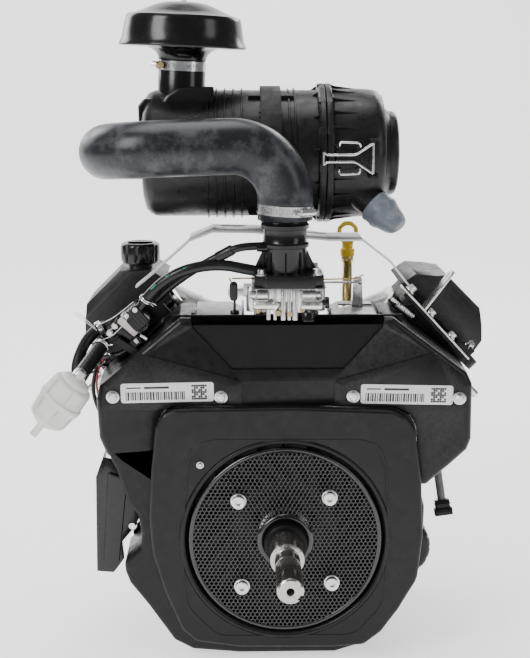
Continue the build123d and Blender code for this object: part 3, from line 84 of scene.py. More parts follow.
# ================================================================ materials
class Nodes:
    """A material's node tree with short ways to add and join nodes."""

    def __init__(self):
        self.material = bpy.data.materials.new("surface")
        self.material.use_nodes = True
        self.tree = self.material.node_tree
        self.shader = self.tree.nodes["Principled BSDF"]
        self.where = self.add("ShaderNodeTexCoord").outputs["Object"]

    def add(self, kind, **settings):
        node = self.tree.nodes.new(kind)
        for key, value in settings.items():
            setattr(node, key, value)
        return node

    def join(self, output, target):
        self.tree.links.new(output, target)

    def noise(self, scale, detail=4.0, rough=0.55, where=None):
        node = self.add("ShaderNodeTexNoise")
        node.inputs["Scale"].default_value = scale
        node.inputs["Detail"].default_value = detail
        node.inputs["Roughness"].default_value = rough
        self.join(where or self.where, node.inputs["Vector"])
        return node.outputs["Fac"]

    def stretched(self, scale):
        node = self.add("ShaderNodeMapping")
        node.inputs["Scale"].default_value = scale
        self.join(self.where, node.inputs["Vector"])
        return node.outputs["Vector"]

    def ramp(self, factor, low, high, low_value=0.0, high_value=1.0):
        node = self.add("ShaderNodeMapRange")
        for key, value in (("From Min", low), ("From Max", high), ("To Min", low_value),
                ("To Max", high_value)):
            node.inputs[key].default_value = value
        self.join(factor, node.inputs["Value"])
        return node.outputs["Result"]

    def math(self, operation, a, b):
        node = self.add("ShaderNodeMath", operation=operation)
        for socket, value in zip(node.inputs, (a, b)):
            if isinstance(value, (int, float)):
                socket.default_value = value
            else:
                self.join(value, socket)
        return node.outputs[0]

    def mix(self, factor, a, b):
        node = self.add("ShaderNodeMix", data_type="RGBA")
        for socket, value in ((node.inputs["Factor"], factor), (node.inputs["A"], a), (node.inputs["B"], b)):
            if isinstance(value, (tuple, float, int)):
                socket.default_value = (*value, 1.0) if isinstance(value, tuple) else value
            else:
                self.join(value, socket)
        return node.outputs["Result"]

    def bump(self, height, strength, distance, after=None):
        node = self.add("ShaderNodeBump")
        node.inputs["Strength"].default_value = strength
        node.inputs["Distance"].default_value = distance
        self.join(height, node.inputs["Height"])
        if after is not None:
            self.join(after, node.inputs["Normal"])
        return node.outputs["Normal"]


DUST = (0.32, 0.31, 0.29)


def finish(colour, rough, metal=0.0, tone=0.25, patch=45.0, grain=1400.0, grain_depth=0.00006, wave=0.0,
        wear=0.0, wear_colour=(0.35, 0.34, 0.33), dust=0.0, rough_spread=0.12, coat=0.0, spec=0.5):
    """A general painted, cast, plated or moulded surface.

    tone is how much the colour wanders, grain and wave the fine and broad bumps, wear the bare edges and dust
    what lies on faces that look up.
    """
    n = Nodes()
    soft = n.noise(patch, 5.0)
    fine = n.noise(grain, 3.0, 0.6)
    dark = tuple(c * (1 - tone) for c in colour)
    light = tuple(min(1.0, c * (1 + tone)) for c in colour)
    shade = n.mix(n.ramp(soft, 0.3, 0.7), dark, light)
    if wear:
        edge = n.add("ShaderNodeNewGeometry").outputs["Pointiness"]
        worn = n.math("MULTIPLY", n.ramp(edge, 0.53, 0.62), n.ramp(n.noise(260.0), 0.35, 0.6, 0.0, wear))
        shade = n.mix(worn, shade, wear_colour)
    if dust:
        split = n.add("ShaderNodeSeparateXYZ")
        n.join(n.add("ShaderNodeNewGeometry").outputs["Normal"], split.inputs[0])
        lying = n.math("MULTIPLY", n.ramp(split.outputs["Z"], 0.2, 1.0), n.ramp(n.noise(120.0), 0.35, 0.7,
            0.2, 1.0))
        shade = n.mix(n.math("MULTIPLY", lying, dust), shade, DUST)
    n.join(shade, n.shader.inputs["Base Color"])
    spread = n.ramp(n.noise(patch * 2.3, 6.0), 0.3, 0.7, max(rough - rough_spread, 0.03),
        rough + rough_spread)
    n.join(spread, n.shader.inputs["Roughness"])
    for socket, value in (("Metallic", metal), ("Specular IOR Level", spec), ("Coat Weight", coat),
            ("Coat Roughness", 0.12)):
        n.shader.inputs[socket].default_value = value
    broad = n.bump(n.noise(patch * 1.5, 2.0), 0.6, wave) if wave else None
    n.join(n.bump(fine, 0.7, grain_depth, broad), n.shader.inputs["Normal"])
    return n.material


def rubber(colour, bloom, bloom_colour, rough=0.6):
    """Rubber with a pale mottled bloom and small scuffs."""
    n = Nodes()
    cloud = n.ramp(n.noise(38.0, 8.0, 0.68), 0.47, 0.66, 0.0, bloom)
    scuff = n.ramp(n.noise(300.0, 6.0, 0.7, n.stretched((1.0, 0.35, 2.4))), 0.6, 0.7, 0.0, bloom)
    shade = n.mix(n.math("MAXIMUM", cloud, scuff), colour, bloom_colour)
    n.join(shade, n.shader.inputs["Base Color"])
    n.join(n.ramp(cloud, 0.0, 1.0, rough - 0.12, rough + 0.25), n.shader.inputs["Roughness"])
    n.shader.inputs["Specular IOR Level"].default_value = 0.4
    n.join(n.bump(n.noise(1100.0, 4.0), 0.6, 0.00008), n.shader.inputs["Normal"])
    return n.material


def clear_nylon():
    """Milky translucent nylon."""
    n = Nodes()
    n.join(n.mix(n.ramp(n.noise(70.0), 0.35, 0.65), (0.82, 0.81, 0.76), (0.93, 0.93, 0.90)),
        n.shader.inputs["Base Color"])
    n.shader.inputs["Roughness"].default_value = 0.32
    n.shader.inputs["Transmission Weight"].default_value = 0.35
    n.shader.inputs["Subsurface Weight"].default_value = 0.3
    n.shader.inputs["Subsurface Radius"].default_value = (0.006, 0.006, 0.005)
    n.join(n.bump(n.noise(500.0), 0.3, 0.00005), n.shader.inputs["Normal"])
    return n.material


def filter_paper():
    """Tan paper with a soft mottle."""
    n = Nodes()
    n.join(n.mix(n.noise(90.0, 2.0, 0.5), (0.55, 0.44, 0.24), (0.74, 0.64, 0.42)),
        n.shader.inputs["Base Color"])
    n.shader.inputs["Roughness"].default_value = 0.85
    n.join(n.bump(n.noise(1500.0), 0.6, 0.0001), n.shader.inputs["Normal"])
    return n.material


LOOK = {
    "shroud_black": finish((0.0078, 0.0066, 0.0068), 0.36, spec=0.26, tone=0.12, grain=1700,
        grain_depth=0.00005, wave=0.0003, wear=0.25, wear_colour=(0.05, 0.048, 0.047), dust=0.02, coat=0.05),
    "panel_black": finish((0.0036, 0.0028, 0.0028), 0.44, tone=0.15, wear=0.2, wear_colour=(0.03, 0.03, 0.03),
        spec=0.2),
    "baffle_grey": finish((0.34, 0.34, 0.345), 0.38, metal=0.7, tone=0.10, dust=0.05, wear=0.4,
        wear_colour=(0.7, 0.7, 0.7)),
    "label_white": finish((0.80, 0.80, 0.79), 0.38, tone=0.03, grain=600, grain_depth=0.00002),
    "plated_bolts": finish((0.72, 0.71, 0.69), 0.27, metal=1.0, tone=0.08, grain=900, grain_depth=0.00003),
    "block_black": finish((0.0075, 0.007, 0.007), 0.50, spec=0.3, tone=0.2, grain=900, grain_depth=0.0002,
        wave=0.0003, dust=0.05, wear=0.2, wear_colour=(0.06, 0.06, 0.06)),
    "cover_black": finish((0.0125, 0.0115, 0.0118), 0.42, spec=0.35, tone=0.12, grain=1000,
        grain_depth=0.00014, wave=0.0002, dust=0.04, wear=0.35, wear_colour=(0.09, 0.09, 0.09)),
    "cast_aluminium": finish((0.78, 0.77, 0.75), 0.34, metal=1.0, tone=0.10, grain=1100, grain_depth=0.0002,
        wave=0.0002),
    "steel_shaft": finish((0.50, 0.47, 0.45), 0.22, metal=1.0, tone=0.06, patch=160, grain_depth=0.00002,
        rough_spread=0.05),
    "flywheel_iron": finish((0.10, 0.098, 0.095), 0.45, metal=0.8, tone=0.2, grain_depth=0.0002),
    "fan_plastic": finish((0.010, 0.0095, 0.009), 0.46, spec=0.35, tone=0.12, dust=0.05),
    "screen_black": finish((0.0055, 0.0055, 0.0057), 0.20, tone=0.1, wave=0.0004, coat=0.5,
        grain_depth=0.00002),
    "plug_steel": finish((0.7, 0.7, 0.68), 0.3, metal=1.0, tone=0.1),
    "coil_plastic": finish((0.012, 0.012, 0.013), 0.4, tone=0.1),
    "lever_zinc": finish((0.70, 0.70, 0.68), 0.30, metal=1.0, tone=0.08, patch=110, grain_depth=0.00003),
    "black_plastic": finish((0.0068, 0.0062, 0.0066), 0.36, spec=0.34, tone=0.12, grain=1500,
        grain_depth=0.00007, dust=0.02, wear=0.18, wear_colour=(0.07, 0.07, 0.07)),
    "gloss_plastic": finish((0.0042, 0.0040, 0.0042), 0.22, spec=0.38, tone=0.1, rough_spread=0.06, coat=0.1,
        grain_depth=0.00002, dust=0.02),
    "guard_brown": finish((0.0055, 0.0036, 0.0032), 0.22, spec=0.35, tone=0.15, wave=0.0003, coat=0.25,
        grain_depth=0.00003),
    "hose_rubber": rubber((0.012, 0.013, 0.016), 0.42, (0.13, 0.135, 0.15), 0.42),
    "valve_rubber": rubber((0.14, 0.16, 0.185), 0.55, (0.42, 0.45, 0.49), 0.50),
    "small_rubber": rubber((0.0055, 0.0055, 0.006), 0.2, (0.035, 0.035, 0.038), 0.42),
    "clamp_steel": finish((0.80, 0.80, 0.79), 0.22, metal=1.0, tone=0.06, patch=120, grain_depth=0.00003,
        rough_spread=0.06),
    "bronze_screw": finish((0.42, 0.33, 0.20), 0.34, metal=1.0, tone=0.2),
    "filter_paper": filter_paper(),
    # The support strap's near-white colour is a painted reflection: it stands for the light on the top of a
    # black painted steel strap.
    "strap_pale": finish((0.80, 0.80, 0.80), 0.30, tone=0.03, patch=30, grain_depth=0.00001,
        rough_spread=0.04, metal=0.3),
    "pinion_steel": finish((0.5, 0.5, 0.5), 0.3, metal=1.0, tone=0.1),
    "tube_brass": finish((0.55, 0.43, 0.18), 0.30, metal=1.0, tone=0.08, patch=60, grain_depth=0.00001,
        rough_spread=0.05),
    "stick_yellow": finish((0.88, 0.58, 0.015), 0.34, tone=0.10, grain_depth=0.00004, coat=0.2),
    "filter_nylon": clear_nylon(),
    "loom_grey": finish((0.16, 0.16, 0.165), 0.55, tone=0.25, patch=200),
    "gasket_pink": finish((0.62, 0.56, 0.55), 0.55, tone=0.15, patch=90),
    "pale_nylon": finish((0.72, 0.73, 0.72), 0.42, tone=0.08),
    "wire_red": finish((0.30, 0.012, 0.03), 0.4, tone=0.1),
    "dash_green": finish((0.02, 0.24, 0.11), 0.5, tone=0.1),
    "print_grey": finish((0.030, 0.030, 0.033), 0.45, tone=0.1),
}
for look_name, surface in LOOK.items():
    surface.name = look_name


def round_edges(made, bevel, angle):
    edge = made.modifiers.new("edge", "BEVEL")
    edge.width, edge.segments = bevel * MM, 2
    edge.limit_method, edge.angle_limit = "ANGLE", radians(angle)
    edge.harden_normals = True
    return edge


def shade_smooth(mesh, angle):
    mesh.polygons.foreach_set("use_smooth", [True] * len(mesh.polygons))
    mesh.set_sharp_from_angle(angle=radians(angle))


def dress(name, look, bevel):
    """A CAD node's finish, with a small round on its edges."""
    node = NODES[name]
    node.data.materials.clear()
    node.data.materials.append(LOOK[look])
    weld = node.modifiers.new("weld", "WELD")
    weld.merge_threshold = 0.00002
    if bevel:
        edge = round_edges(node, bevel, 32.0)
        edge.use_clamp_overlap = True
        edge.miter_outer = "MITER_ARC"
    shade_smooth(node.data, 32.0)


# ================================================================ mesh helpers
def piece(name, mesh, look, body="engine", stands_for=(), slot=None, smooth=35.0, bevel=0.0, subdivide=0):
    """Puts a mesh in the scene as one piece of the object."""
    made = linked(name, mesh)
    mesh.materials.clear()
    mesh.materials.append(LOOK[look])
    shade_smooth(mesh, smooth)
    if bevel:
        round_edges(made, bevel, smooth)
    if subdivide:
        finer = made.modifiers.new("finer", "SUBSURF")
        finer.levels = finer.render_levels = subdivide
    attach(made, body)
    if stands_for:
        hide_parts(*stands_for)
    return made


MOULDED = {"slot": "black_plastic", "smooth": 30}      # crisp mouldings


def frame_for(axis, across=None):
    """Two directions square to an axis and to each other."""
    axis = Vector(axis).normalized()
    if across is None:
        across = RIGHT if abs(axis.x) < 0.9 else UP
    u = (Vector(across) - axis * axis.dot(Vector(across))).normalized()
    return u, axis.cross(u), axis


def lathe_into(bm, profile, origin, axis, sides=96, closed=False, ripple=None, across=None):
    """Turns (radius, height) points in mm round an axis; ripple(angle, radius, height) changes a radius."""
    u, v, w = frame_for(axis, across)
    rings = []
    for radius, height in profile:
        if radius <= 0:
            rings.append([bm.verts.new(origin + w * height * MM)] * sides)
            continue
        ring = []
        for k in range(sides):
            a = 2 * pi * k / sides
            r = ripple(a, radius, height) if ripple else radius
            ring.append(bm.verts.new(origin + (u * cos(a) + v * sin(a)) * r * MM + w * height * MM))
        rings.append(ring)
    pairs = list(zip(rings, rings[1:] + rings[:1]))
    for low, high in pairs if closed else pairs[:-1]:
        for k in range(sides):
            nxt = (k + 1) % sides
            corners = []
            for vert in (low[k], low[nxt], high[nxt], high[k]):
                if vert not in corners:
                    corners.append(vert)
            if len(corners) > 2:
                bm.faces.new(corners)


def fresh():
    return bmesh.new()


def done(bm, name):
    bmesh.ops.remove_doubles(bm, verts=bm.verts, dist=1e-6)
    bmesh.ops.recalc_face_normals(bm, faces=bm.faces)
    mesh = bpy.data.meshes.new(name)
    bm.to_mesh(mesh)
    bm.free()
    return mesh


def built(bm, name, look, body="engine", **more):
    return piece(name, done(bm, name), look, body, **more)


def skin_into(bm, rings):
    """Faces between neighbouring closed rings of vertices."""
    for low, high in zip(rings, rings[1:]):
        for k in range(len(low)):
            nxt = (k + 1) % len(low)
            bm.faces.new((low[k], low[nxt], high[nxt], high[k]))


def lathe(name, profile, origin, axis, look, body="engine", closed=False, sides=96, ripple=None, across=None,
        **more):
    bm = fresh()
    lathe_into(bm, profile, origin, axis, sides, closed, ripple, across)
    return built(bm, name, look, body, **more)


def rounded(points, radius, steps=5):
    """The outline with each corner rounded to about this radius; a point (x, y, r) sets its own corner's."""
    out, count = [], len(points)
    for i, here in enumerate(points):
        before, after = Vector(points[i - 1][:2]), Vector(points[(i + 1) % count][:2])
        corner = Vector(here[:2])
        r = here[2] if len(here) > 2 else radius
        a, b = (before - corner), (after - corner)
        turn = a.angle(b)
        if r <= 0 or turn > pi - 0.02:
            out.append(corner)
            continue
        run = min(r / max(sin(turn / 2) / cos(turn / 2), 1e-6), a.length * 0.48, b.length * 0.48)
        start, end = corner + a.normalized() * run, corner + b.normalized() * run
        for k in range(steps + 1):
            t = k / steps
            out.append(start.lerp(corner, t).lerp(corner.lerp(end, t), t))
    return out


def circle(x, y, radius, sides):
    return [Vector((x + radius * cos(2 * pi * k / sides), y + radius * sin(2 * pi * k / sides)))
        for k in range(sides)]


def box_outline(x, y, width, height, radius=0.0, turn=0.0, steps=5):
    corners = [(-width / 2, -height / 2), (width / 2, -height / 2), (width / 2, height / 2),
        (-width / 2, height / 2)]
    ring = rounded(corners, radius, steps) if radius else [Vector(c) for c in corners]
    c, s = cos(turn), sin(turn)
    return [Vector((x + c * p.x - s * p.y, y + s * p.x + c * p.y)) for p in ring]


def spline_into(curve, kind, places):
    spline = curve.splines.new(kind)
    spline.points.add(len(places) - 1)
    for point, place in zip(spline.points, places):
        point.co = (*place, 1.0)
    if kind == "NURBS":
        spline.order_u = 3
        spline.use_endpoint_u = True
    return spline


def mesh_of(name, curve):
    holder = linked(name + "_curve", curve)
    bpy.context.view_layer.update()
    mesh = bpy.data.meshes.new_from_object(holder.evaluated_get(bpy.context.evaluated_depsgraph_get()))
    bpy.data.objects.remove(holder)
    return mesh


def plate_mesh(name, outlines, origin, x_dir, y_dir, thickness, edge=0.0):
    """A flat plate with holes: outlines in mm on the plane, thickness towards x_dir cross y_dir."""
    curve = bpy.data.curves.new(name, "CURVE")
    curve.dimensions, curve.fill_mode = "2D", "BOTH"
    curve.extrude = (thickness / 2 - edge) * MM
    curve.bevel_depth, curve.bevel_resolution = edge * MM, 1
    curve.offset = -edge * MM
    for outline in outlines:
        spline_into(curve, "POLY",
            [(place[0] * MM, place[1] * MM, 0.0) for place in outline]).use_cyclic_u = True
    mesh = mesh_of(name, curve)
    x_dir, y_dir = Vector(x_dir).normalized(), Vector(y_dir).normalized()
    z_dir = x_dir.cross(y_dir)
    middle = origin + z_dir * thickness / 2 * MM
    mesh.transform(Matrix(((x_dir.x, y_dir.x, z_dir.x, middle.x), (x_dir.y, y_dir.y, z_dir.y, middle.y),
        (x_dir.z, y_dir.z, z_dir.z, middle.z), (0, 0, 0, 1))))
    return mesh


def plate(name, outlines, origin, x_dir, y_dir, thickness, look, body="engine", edge=0.0, **more):
    mesh = plate_mesh(name, outlines, origin, x_dir, y_dir, thickness, edge)
    return piece(name, mesh, look, body, **more)


def merged(name, meshes):
    """Several meshes as one."""
    bm = fresh()
    for mesh in meshes:
        bm.from_mesh(mesh)
        bpy.data.meshes.remove(mesh)
    out = bpy.data.meshes.new(name)
    bm.to_mesh(out)
    bm.free()
    return out


def rounded3(points, radius, steps=6):
    """A bent wire's centreline: straight runs with a short curve at each corner, in metres."""
    out = [points[0]]
    for before, here, after in zip(points, points[1:], points[2:]):
        a, b = before - here, after - here
        run = min(radius * MM, a.length * 0.48, b.length * 0.48)
        start, end = here + a.normalized() * run, here + b.normalized() * run
        out += [start.lerp(here, k / steps).lerp(here.lerp(end, k / steps), k / steps)
            for k in range(steps + 1)]
    return out + [points[-1]]


def tube_mesh(name, points, radius, kind="POLY"):
    """A round bar along points in metres, radius in mm."""
    curve = bpy.data.curves.new(name, "CURVE")
    curve.dimensions = "3D"
    curve.bevel_depth, curve.bevel_resolution = radius * MM, 5
    curve.use_fill_caps = True
    curve.resolution_u = 16
    spline_into(curve, kind, points)
    return mesh_of(name, curve)


def wire(name, runs, radius, look, body="engine", bend=5.0, **more):
    """One or more bent wires through (x, depth, rise) points, as one piece."""
    meshes = [tube_mesh(name, rounded3([at(*p) for p in run], bend), radius) for run in runs]
    return piece(name, merged(name, meshes), look, body, smooth=50, **more)


def flexible(name, points, radius, look, body="engine", **more):
    """A hose or cable, as one smooth NURBS line through its control points."""
    return piece(name, tube_mesh(name, [at(*p) for p in points], radius, "NURBS"), look, body, smooth=50,
        **more)


def hex_head(bm, spot, normal, across_flats, height, washer=0.0, washer_height=1.5, socket=0.0):
    """A hex bolt head, with a flange or a socket if those have a size."""
    if washer:
        lathe_into(bm, [(0, 0), (washer, 0), (washer, washer_height * 0.6), (washer * 0.86, washer_height),
            (0, washer_height)], spot, normal, 32)
    top = height
    r = across_flats / 2 / cos(pi / 6)

    def corners(angle, radius, _):
        part = (angle % (pi / 3)) - pi / 6
        return radius * cos(pi / 6) / cos(part) if radius > r * 0.95 else radius

    profile = [(0, washer_height * 0.5 if washer else 0), (r, washer_height * 0.5 if washer else 0),
        (r, top - 0.7), (r * 0.9, top)]
    if socket:
        profile += [(socket, top), (socket * 0.96, top - 2.5), (0, top - 2.5)]
    else:
        profile += [(0, top)]
    lathe_into(bm, profile, spot, normal, 36, ripple=corners)


def bolts(name, spots, normal, across_flats, height, look="plated_bolts", body="engine", washer=0.0,
        socket=0.0, **more):
    bm = fresh()
    for spot in spots:
        hex_head(bm, spot, normal, across_flats, height, washer, socket=socket)
    return piece(name, done(bm, name), look, body, smooth=28, **more)


def worm_clamp(name, centre, axis, radius, width, screw_at, stands_for, screw_look="plated_bolts"):
    """A band with punched slots, its screw housing at the angle screw_at, and the screw."""
    u, v, w = frame_for(axis)
    bm = fresh()
    slot_pitch, gauge, screw_radius, half_housing = 1.6, 0.8, 4.6, 7.5
    columns = int(2 * pi * radius / slot_pitch) // 2 * 2
    rows = (-0.5, -0.27, 0.27, 0.5)
    for skin in (radius, radius + gauge):
        grid = [[bm.verts.new(centre + (u * cos(2 * pi * k / columns) + v * sin(2 * pi * k / columns)) * skin
            * MM + w * row * width * MM) for row in rows] for k in range(columns)]
        for k in range(columns):
            for j in range(3):
                if j == 1 and k % 2 and skin > radius:
                    continue
                a, b = grid[k], grid[(k + 1) % columns]
                bm.faces.new((a[j], b[j], b[j + 1], a[j + 1]))
    for edge in (-0.5, 0.5):
        lathe_into(bm, [(radius, edge * width), (radius + gauge, edge * width)], centre, axis, 72)
    out = u * cos(screw_at) + v * sin(screw_at)
    along = w.cross(out)
    foot = centre + out * (radius + 4.0) * MM    # the screw's axis, just off the band
    barrel = [(0, -half_housing), (screw_radius, -half_housing), (screw_radius, half_housing),
        (0, half_housing)]
    lathe_into(bm, barrel, foot, along, 24)
    built(bm, name, "clamp_steel", smooth=35, stands_for=stands_for, slot="clamp_steel")
    bm = fresh()
    hex_head(bm, foot + along * half_housing * MM, along, 7.0, 5.0, washer=screw_radius)
    lathe_into(bm, [(0, 0), (2.6, 0), (2.6, 6), (0, 6)], foot - along * half_housing * MM, -along, 16)
    piece(name + "_screw", done(bm, name), screw_look, smooth=28)


# ================================================================ floor and light
def make_stage():
    bm = fresh()
    reach, back, height, bend = 3.2, 2.6, 2.8, 0.9
    profile = [(-4.0, 0.0), (back - bend, 0.0)]
    profile += [(back - bend + bend * sin(radians(15 * k)), bend - bend * cos(radians(15 * k)))
        for k in range(1, 7)]
    profile += [(back, height)]
    rows = [[bm.verts.new((x, y, z)) for y, z in profile] for x in (-reach, reach)]
    for k in range(len(profile) - 1):
        bm.faces.new((rows[0][k], rows[1][k], rows[1][k + 1], rows[0][k + 1]))
    mesh = done(bm, "floor")
    floor = linked("floor", mesh)
    paper = finish((0.90, 0.90, 0.905), 0.62, tone=0.01, patch=3.0, grain=300, grain_depth=0.00004)
    paper.name = "floor_paper"
    glow = paper.node_tree.nodes["Principled BSDF"]
    glow.inputs["Emission Color"].default_value = (1.0, 1.0, 1.0, 1.0)
    glow.inputs["Emission Strength"].default_value = 1.0
    mesh.materials.append(paper)
    mesh.polygons.foreach_set("use_smooth", [True] * len(mesh.polygons))


def softbox(name, place, target, width, height, power):
    data = bpy.data.lights.new(name, "AREA")
    data.shape, data.size, data.size_y, data.energy = "RECTANGLE", width, height, power
    light = linked(name, data)
    light.location = place
    light.rotation_euler = (Vector(target) - Vector(place)).to_track_quat("-Z", "Y").to_euler()


def make_light():
    world = bpy.data.worlds.new("studio")
    bpy.context.scene.world = world
    world.use_nodes = True
    tree = world.node_tree
    tree.nodes["Background"].inputs["Color"].default_value = (0.93, 0.95, 1.0, 1.0)
    tree.nodes["Background"].inputs["Strength"].default_value = 0.22
    middle = (0.0, 0.0, 0.35)
    softbox("key", (-1.7, -1.5, 1.7), middle, 0.9, 1.4, 44)
    softbox("fill", (1.9, -1.3, 1.2), middle, 0.7, 1.4, 9)
    softbox("top", (-0.2, 0.2, 2.5), middle, 1.8, 1.4, 34)
    softbox("rim", (1.2, 1.8, 1.7), middle, 1.2, 1.0, 22)
    softbox("rim_left", (-1.6, 1.5, 1.5), middle, 0.9, 1.2, 18)


make_stage()
make_light()

# ================================================================ finishes of the CAD's own nodes
DRESSED = {
    "shroud_black": ("upper_housing",),
    "panel_black": ("top_panel", "loom_clip", "backing_plate"),
    "guard_brown": ("starter_guard",),
    "baffle_grey": ("inner_baffles",),
    "plated_bolts": ("shroud_bolts", "screen_bolts"),
    "block_black": ("crankcase", "cylinder_left", "cylinder_right", "head_left", "head_right", "pump_bracket",
        "starter_motor", "hanger_band"),
    "cover_black": ("valve_cover_left", "valve_cover_right"),
    "cast_aluminium": ("closure_plate", "intake_manifold", "carburetor", "pistons"),
    "steel_shaft": ("crankshaft", "camshaft", "stub_shaft"),
    "tube_brass": ("dipstick_tube",),
    "flywheel_iron": ("flywheel",),
    "fan_plastic": ("cooling_fan",),
    "plug_steel": ("spark_plugs",),
    "coil_plastic": ("ignition_coils",),
    "lever_zinc": ("throttle_lever", "governor_lever", "throttle_link"),
    "black_plastic": ("oil_filter",),
    "label_white": ("label_plates",),
    "hose_rubber": ("intake_hose",),
    "filter_paper": ("filter_element",),
    # the support strap takes the near-white painted reflection in place of its black paint
    "strap_pale": ("support_strap",),
    "pinion_steel": ("starter_pinion",),
}
EDGE = {"upper_housing": 0.9, "label_plates": 0.15, "valve_cover_left": 1.6, "valve_cover_right": 1.6,
    "crankcase": 1.0, "intake_hose": 0.0, "throttle_link": 0.0, "dipstick_tube": 0.0, "support_strap": 0.5,
    "carburetor": 0.8, "intake_manifold": 1.0, "starter_motor": 1.0, "closure_plate": 0.8}
for look, names in DRESSED.items():
    for name in names:
        dress(name, look, EDGE.get(name, 0.45))


# ================================================================ air cleaner
CANISTER_DEPTH, CANISTER_RISE = 165.0, 430.5
CANISTER = at(0, CANISTER_DEPTH, CANISTER_RISE)


def along_x(name, profile, look, body="engine", sides=144, **more):
    """Turned round the canister's axis; the profile is (radius, x)."""
    return lathe(name, profile, CANISTER, RIGHT, look, body, sides=sides, across=UP, **more)


def prism_into(bm, outline, place, thick):
    """Fills between two copies of an outline; side is -thick / 2 or thick / 2."""
    rings = [[bm.verts.new(place(a, b, half)) for a, b in outline] for half in (-thick / 2, thick / 2)]
    bm.faces.new(rings[0])
    bm.faces.new(rings[1][::-1])
    for k in range(len(outline)):
        nxt = (k + 1) % len(outline)
        bm.faces.new((rings[0][k], rings[0][nxt], rings[1][nxt], rings[1][k]))


def spoke(angle):
    """Outward and sideways directions at an angle round the canister, from the top towards the front."""
    out = Vector((0, -sin(angle), cos(angle)))
    return out, RIGHT.cross(out)


def ribs_into(bm, angles, outline, thick):
    """Ribs along the canister; the outline's points are (x, radius)."""
    for angle in angles:
        out, side = spoke(angle)
        prism_into(bm, outline, lambda x, r, half: CANISTER + (RIGHT * x + out * r + side * half) * MM, thick)


WALL_RADIUS, JOINT = 75.0, 50.0
INLET_FOOT = 516.05


def canister_body():
    left = -165.0
    profile = [(25.4, left + 4), (25.4, left - 0.5), (56, left), (66, left + 2.5), (71.5, left + 7),
        (WALL_RADIUS, left + 15)]
    for x in (-89, -79, -69, -59, -49, 6, 13):
        profile += [(WALL_RADIUS, x - 0.1), (WALL_RADIUS + 2.2, x + 0.4), (WALL_RADIUS + 2.2, x + 1.9),
            (WALL_RADIUS, x + 2.4)]
    profile += [(WALL_RADIUS, 40.5), (79.5, 41.6), (81.5, 42.6), (82.6, 44), (82.8, JOINT - 1.2),
        (82, JOINT - 0.3), (70, JOINT - 0.3), (70, left + 16), (50, left + 6), (25.4, left + 5)]
    along_x("canister_shell", profile, "black_plastic", closed=True, stands_for=("canister_body",), **MOULDED)
    # the square-shouldered inlet block, which carries the pre-cleaner, and the scoop wall in front of it
    block = [(-168, 440), (-169, 488, 2), (-163, 496, 6), (-84, 498, 2), (-84, 440)]
    slab = plate_mesh("inlet", [rounded(block, 1)], at(0, CANISTER_DEPTH + 40, 0), RIGHT, UP, 76, 2.5)
    piece("canister_inlet_block", slab, "black_plastic", **MOULDED)
    wall = [(-148, 440), (-148, 468), (-144, 484, 14), (-136, 499, 16), (-122, 508.5, 14), (-100, 510.5, 10),
        (-80, 510), (-80, 440)]
    plate("canister_scoop", [rounded(wall, 1.5)], at(0, CANISTER_DEPTH - 30, 0), RIGHT, UP, 12,
        "black_plastic", edge=2.5, **MOULDED)
    # raised field of small square cells on the front
    bm = fresh()
    cell = 5.2                                    # mm along the canister and degrees round it
    for column in range(3):
        for row in range(4):
            low = -28.0 + cell * column
            ribs_into(bm, [radians(46 + cell * row)], [(low, 74), (low + 0.3, 76.6), (low + 3.7, 76.6),
                (low + 4, 74)], 4.2)
    ribs_into(bm, [radians(d) for d in (28, 152)], [(-41, 74), (-39.5, 79.5), (12, 79.5), (14, 74)], 3.0)
    built(bm, "canister_grip_field", "black_plastic", **MOULDED)
    # lugs round the flange
    bm = fresh()
    ribs_into(bm, [radians(30 * k + 8) for k in range(12)], [(41.2, 78), (41.2, 82.9), (49.6, 83.0),
        (49.6, 78)], 9.0)
    ribs_into(bm, [radians(30 * k - 7) for k in range(12)], [(33, 74), (41.5, 80), (41.5, 74)], 2.0)
    built(bm, "canister_flange_lugs", "black_plastic", **MOULDED, bevel=0.4)


def canister_cover():
    profile = [(81.5, JOINT + 0.4), (82.7, JOINT + 1.2), (82.9, 55.5), (82, 57.6), (79, 58.4), (77.6, 60),
        (76.6, 92), (75.4, 108), (73.5, 114), (69, 118.6), (62, 120.6), (51.5, 121), (50.2, 121.8), (50, 132),
        (48.6, 135.6), (45.5, 137.4), (40, 137.8), (0, 137.8), (0, 134), (44, 134), (60, 117), (70, 113),
        (72.5, 60), (76, 56), (77, JOINT + 0.4)]
    along_x("canister_lid", profile, "black_plastic", "air_cleaner_cover", stands_for=("canister_cover",),
        **MOULDED)
    bm = fresh()
    ribs_into(bm, [radians(15 * k + 4) for k in range(24)], [(57, 75), (57, 82.2), (63, 80.0), (92, 76.2),
        (92, 74)], 1.8)
    ribs_into(bm, [radians(30 * k + 8) for k in range(12)], [(50.5, 78), (50.5, 83.0), (57.4, 83.0),
        (57.4, 78)], 9.0)
    built(bm, "canister_lid_ribs", "black_plastic", "air_cleaner_cover", **MOULDED, bevel=0.4)


LATCH_PIN_X, LATCH_STAND, LATCH_HOOK_X = 104.0, 86.2, 45.0
HANDLE_HALF, NECK_HALF, HOOK_HALF = 17.5, 4.0, 7.0


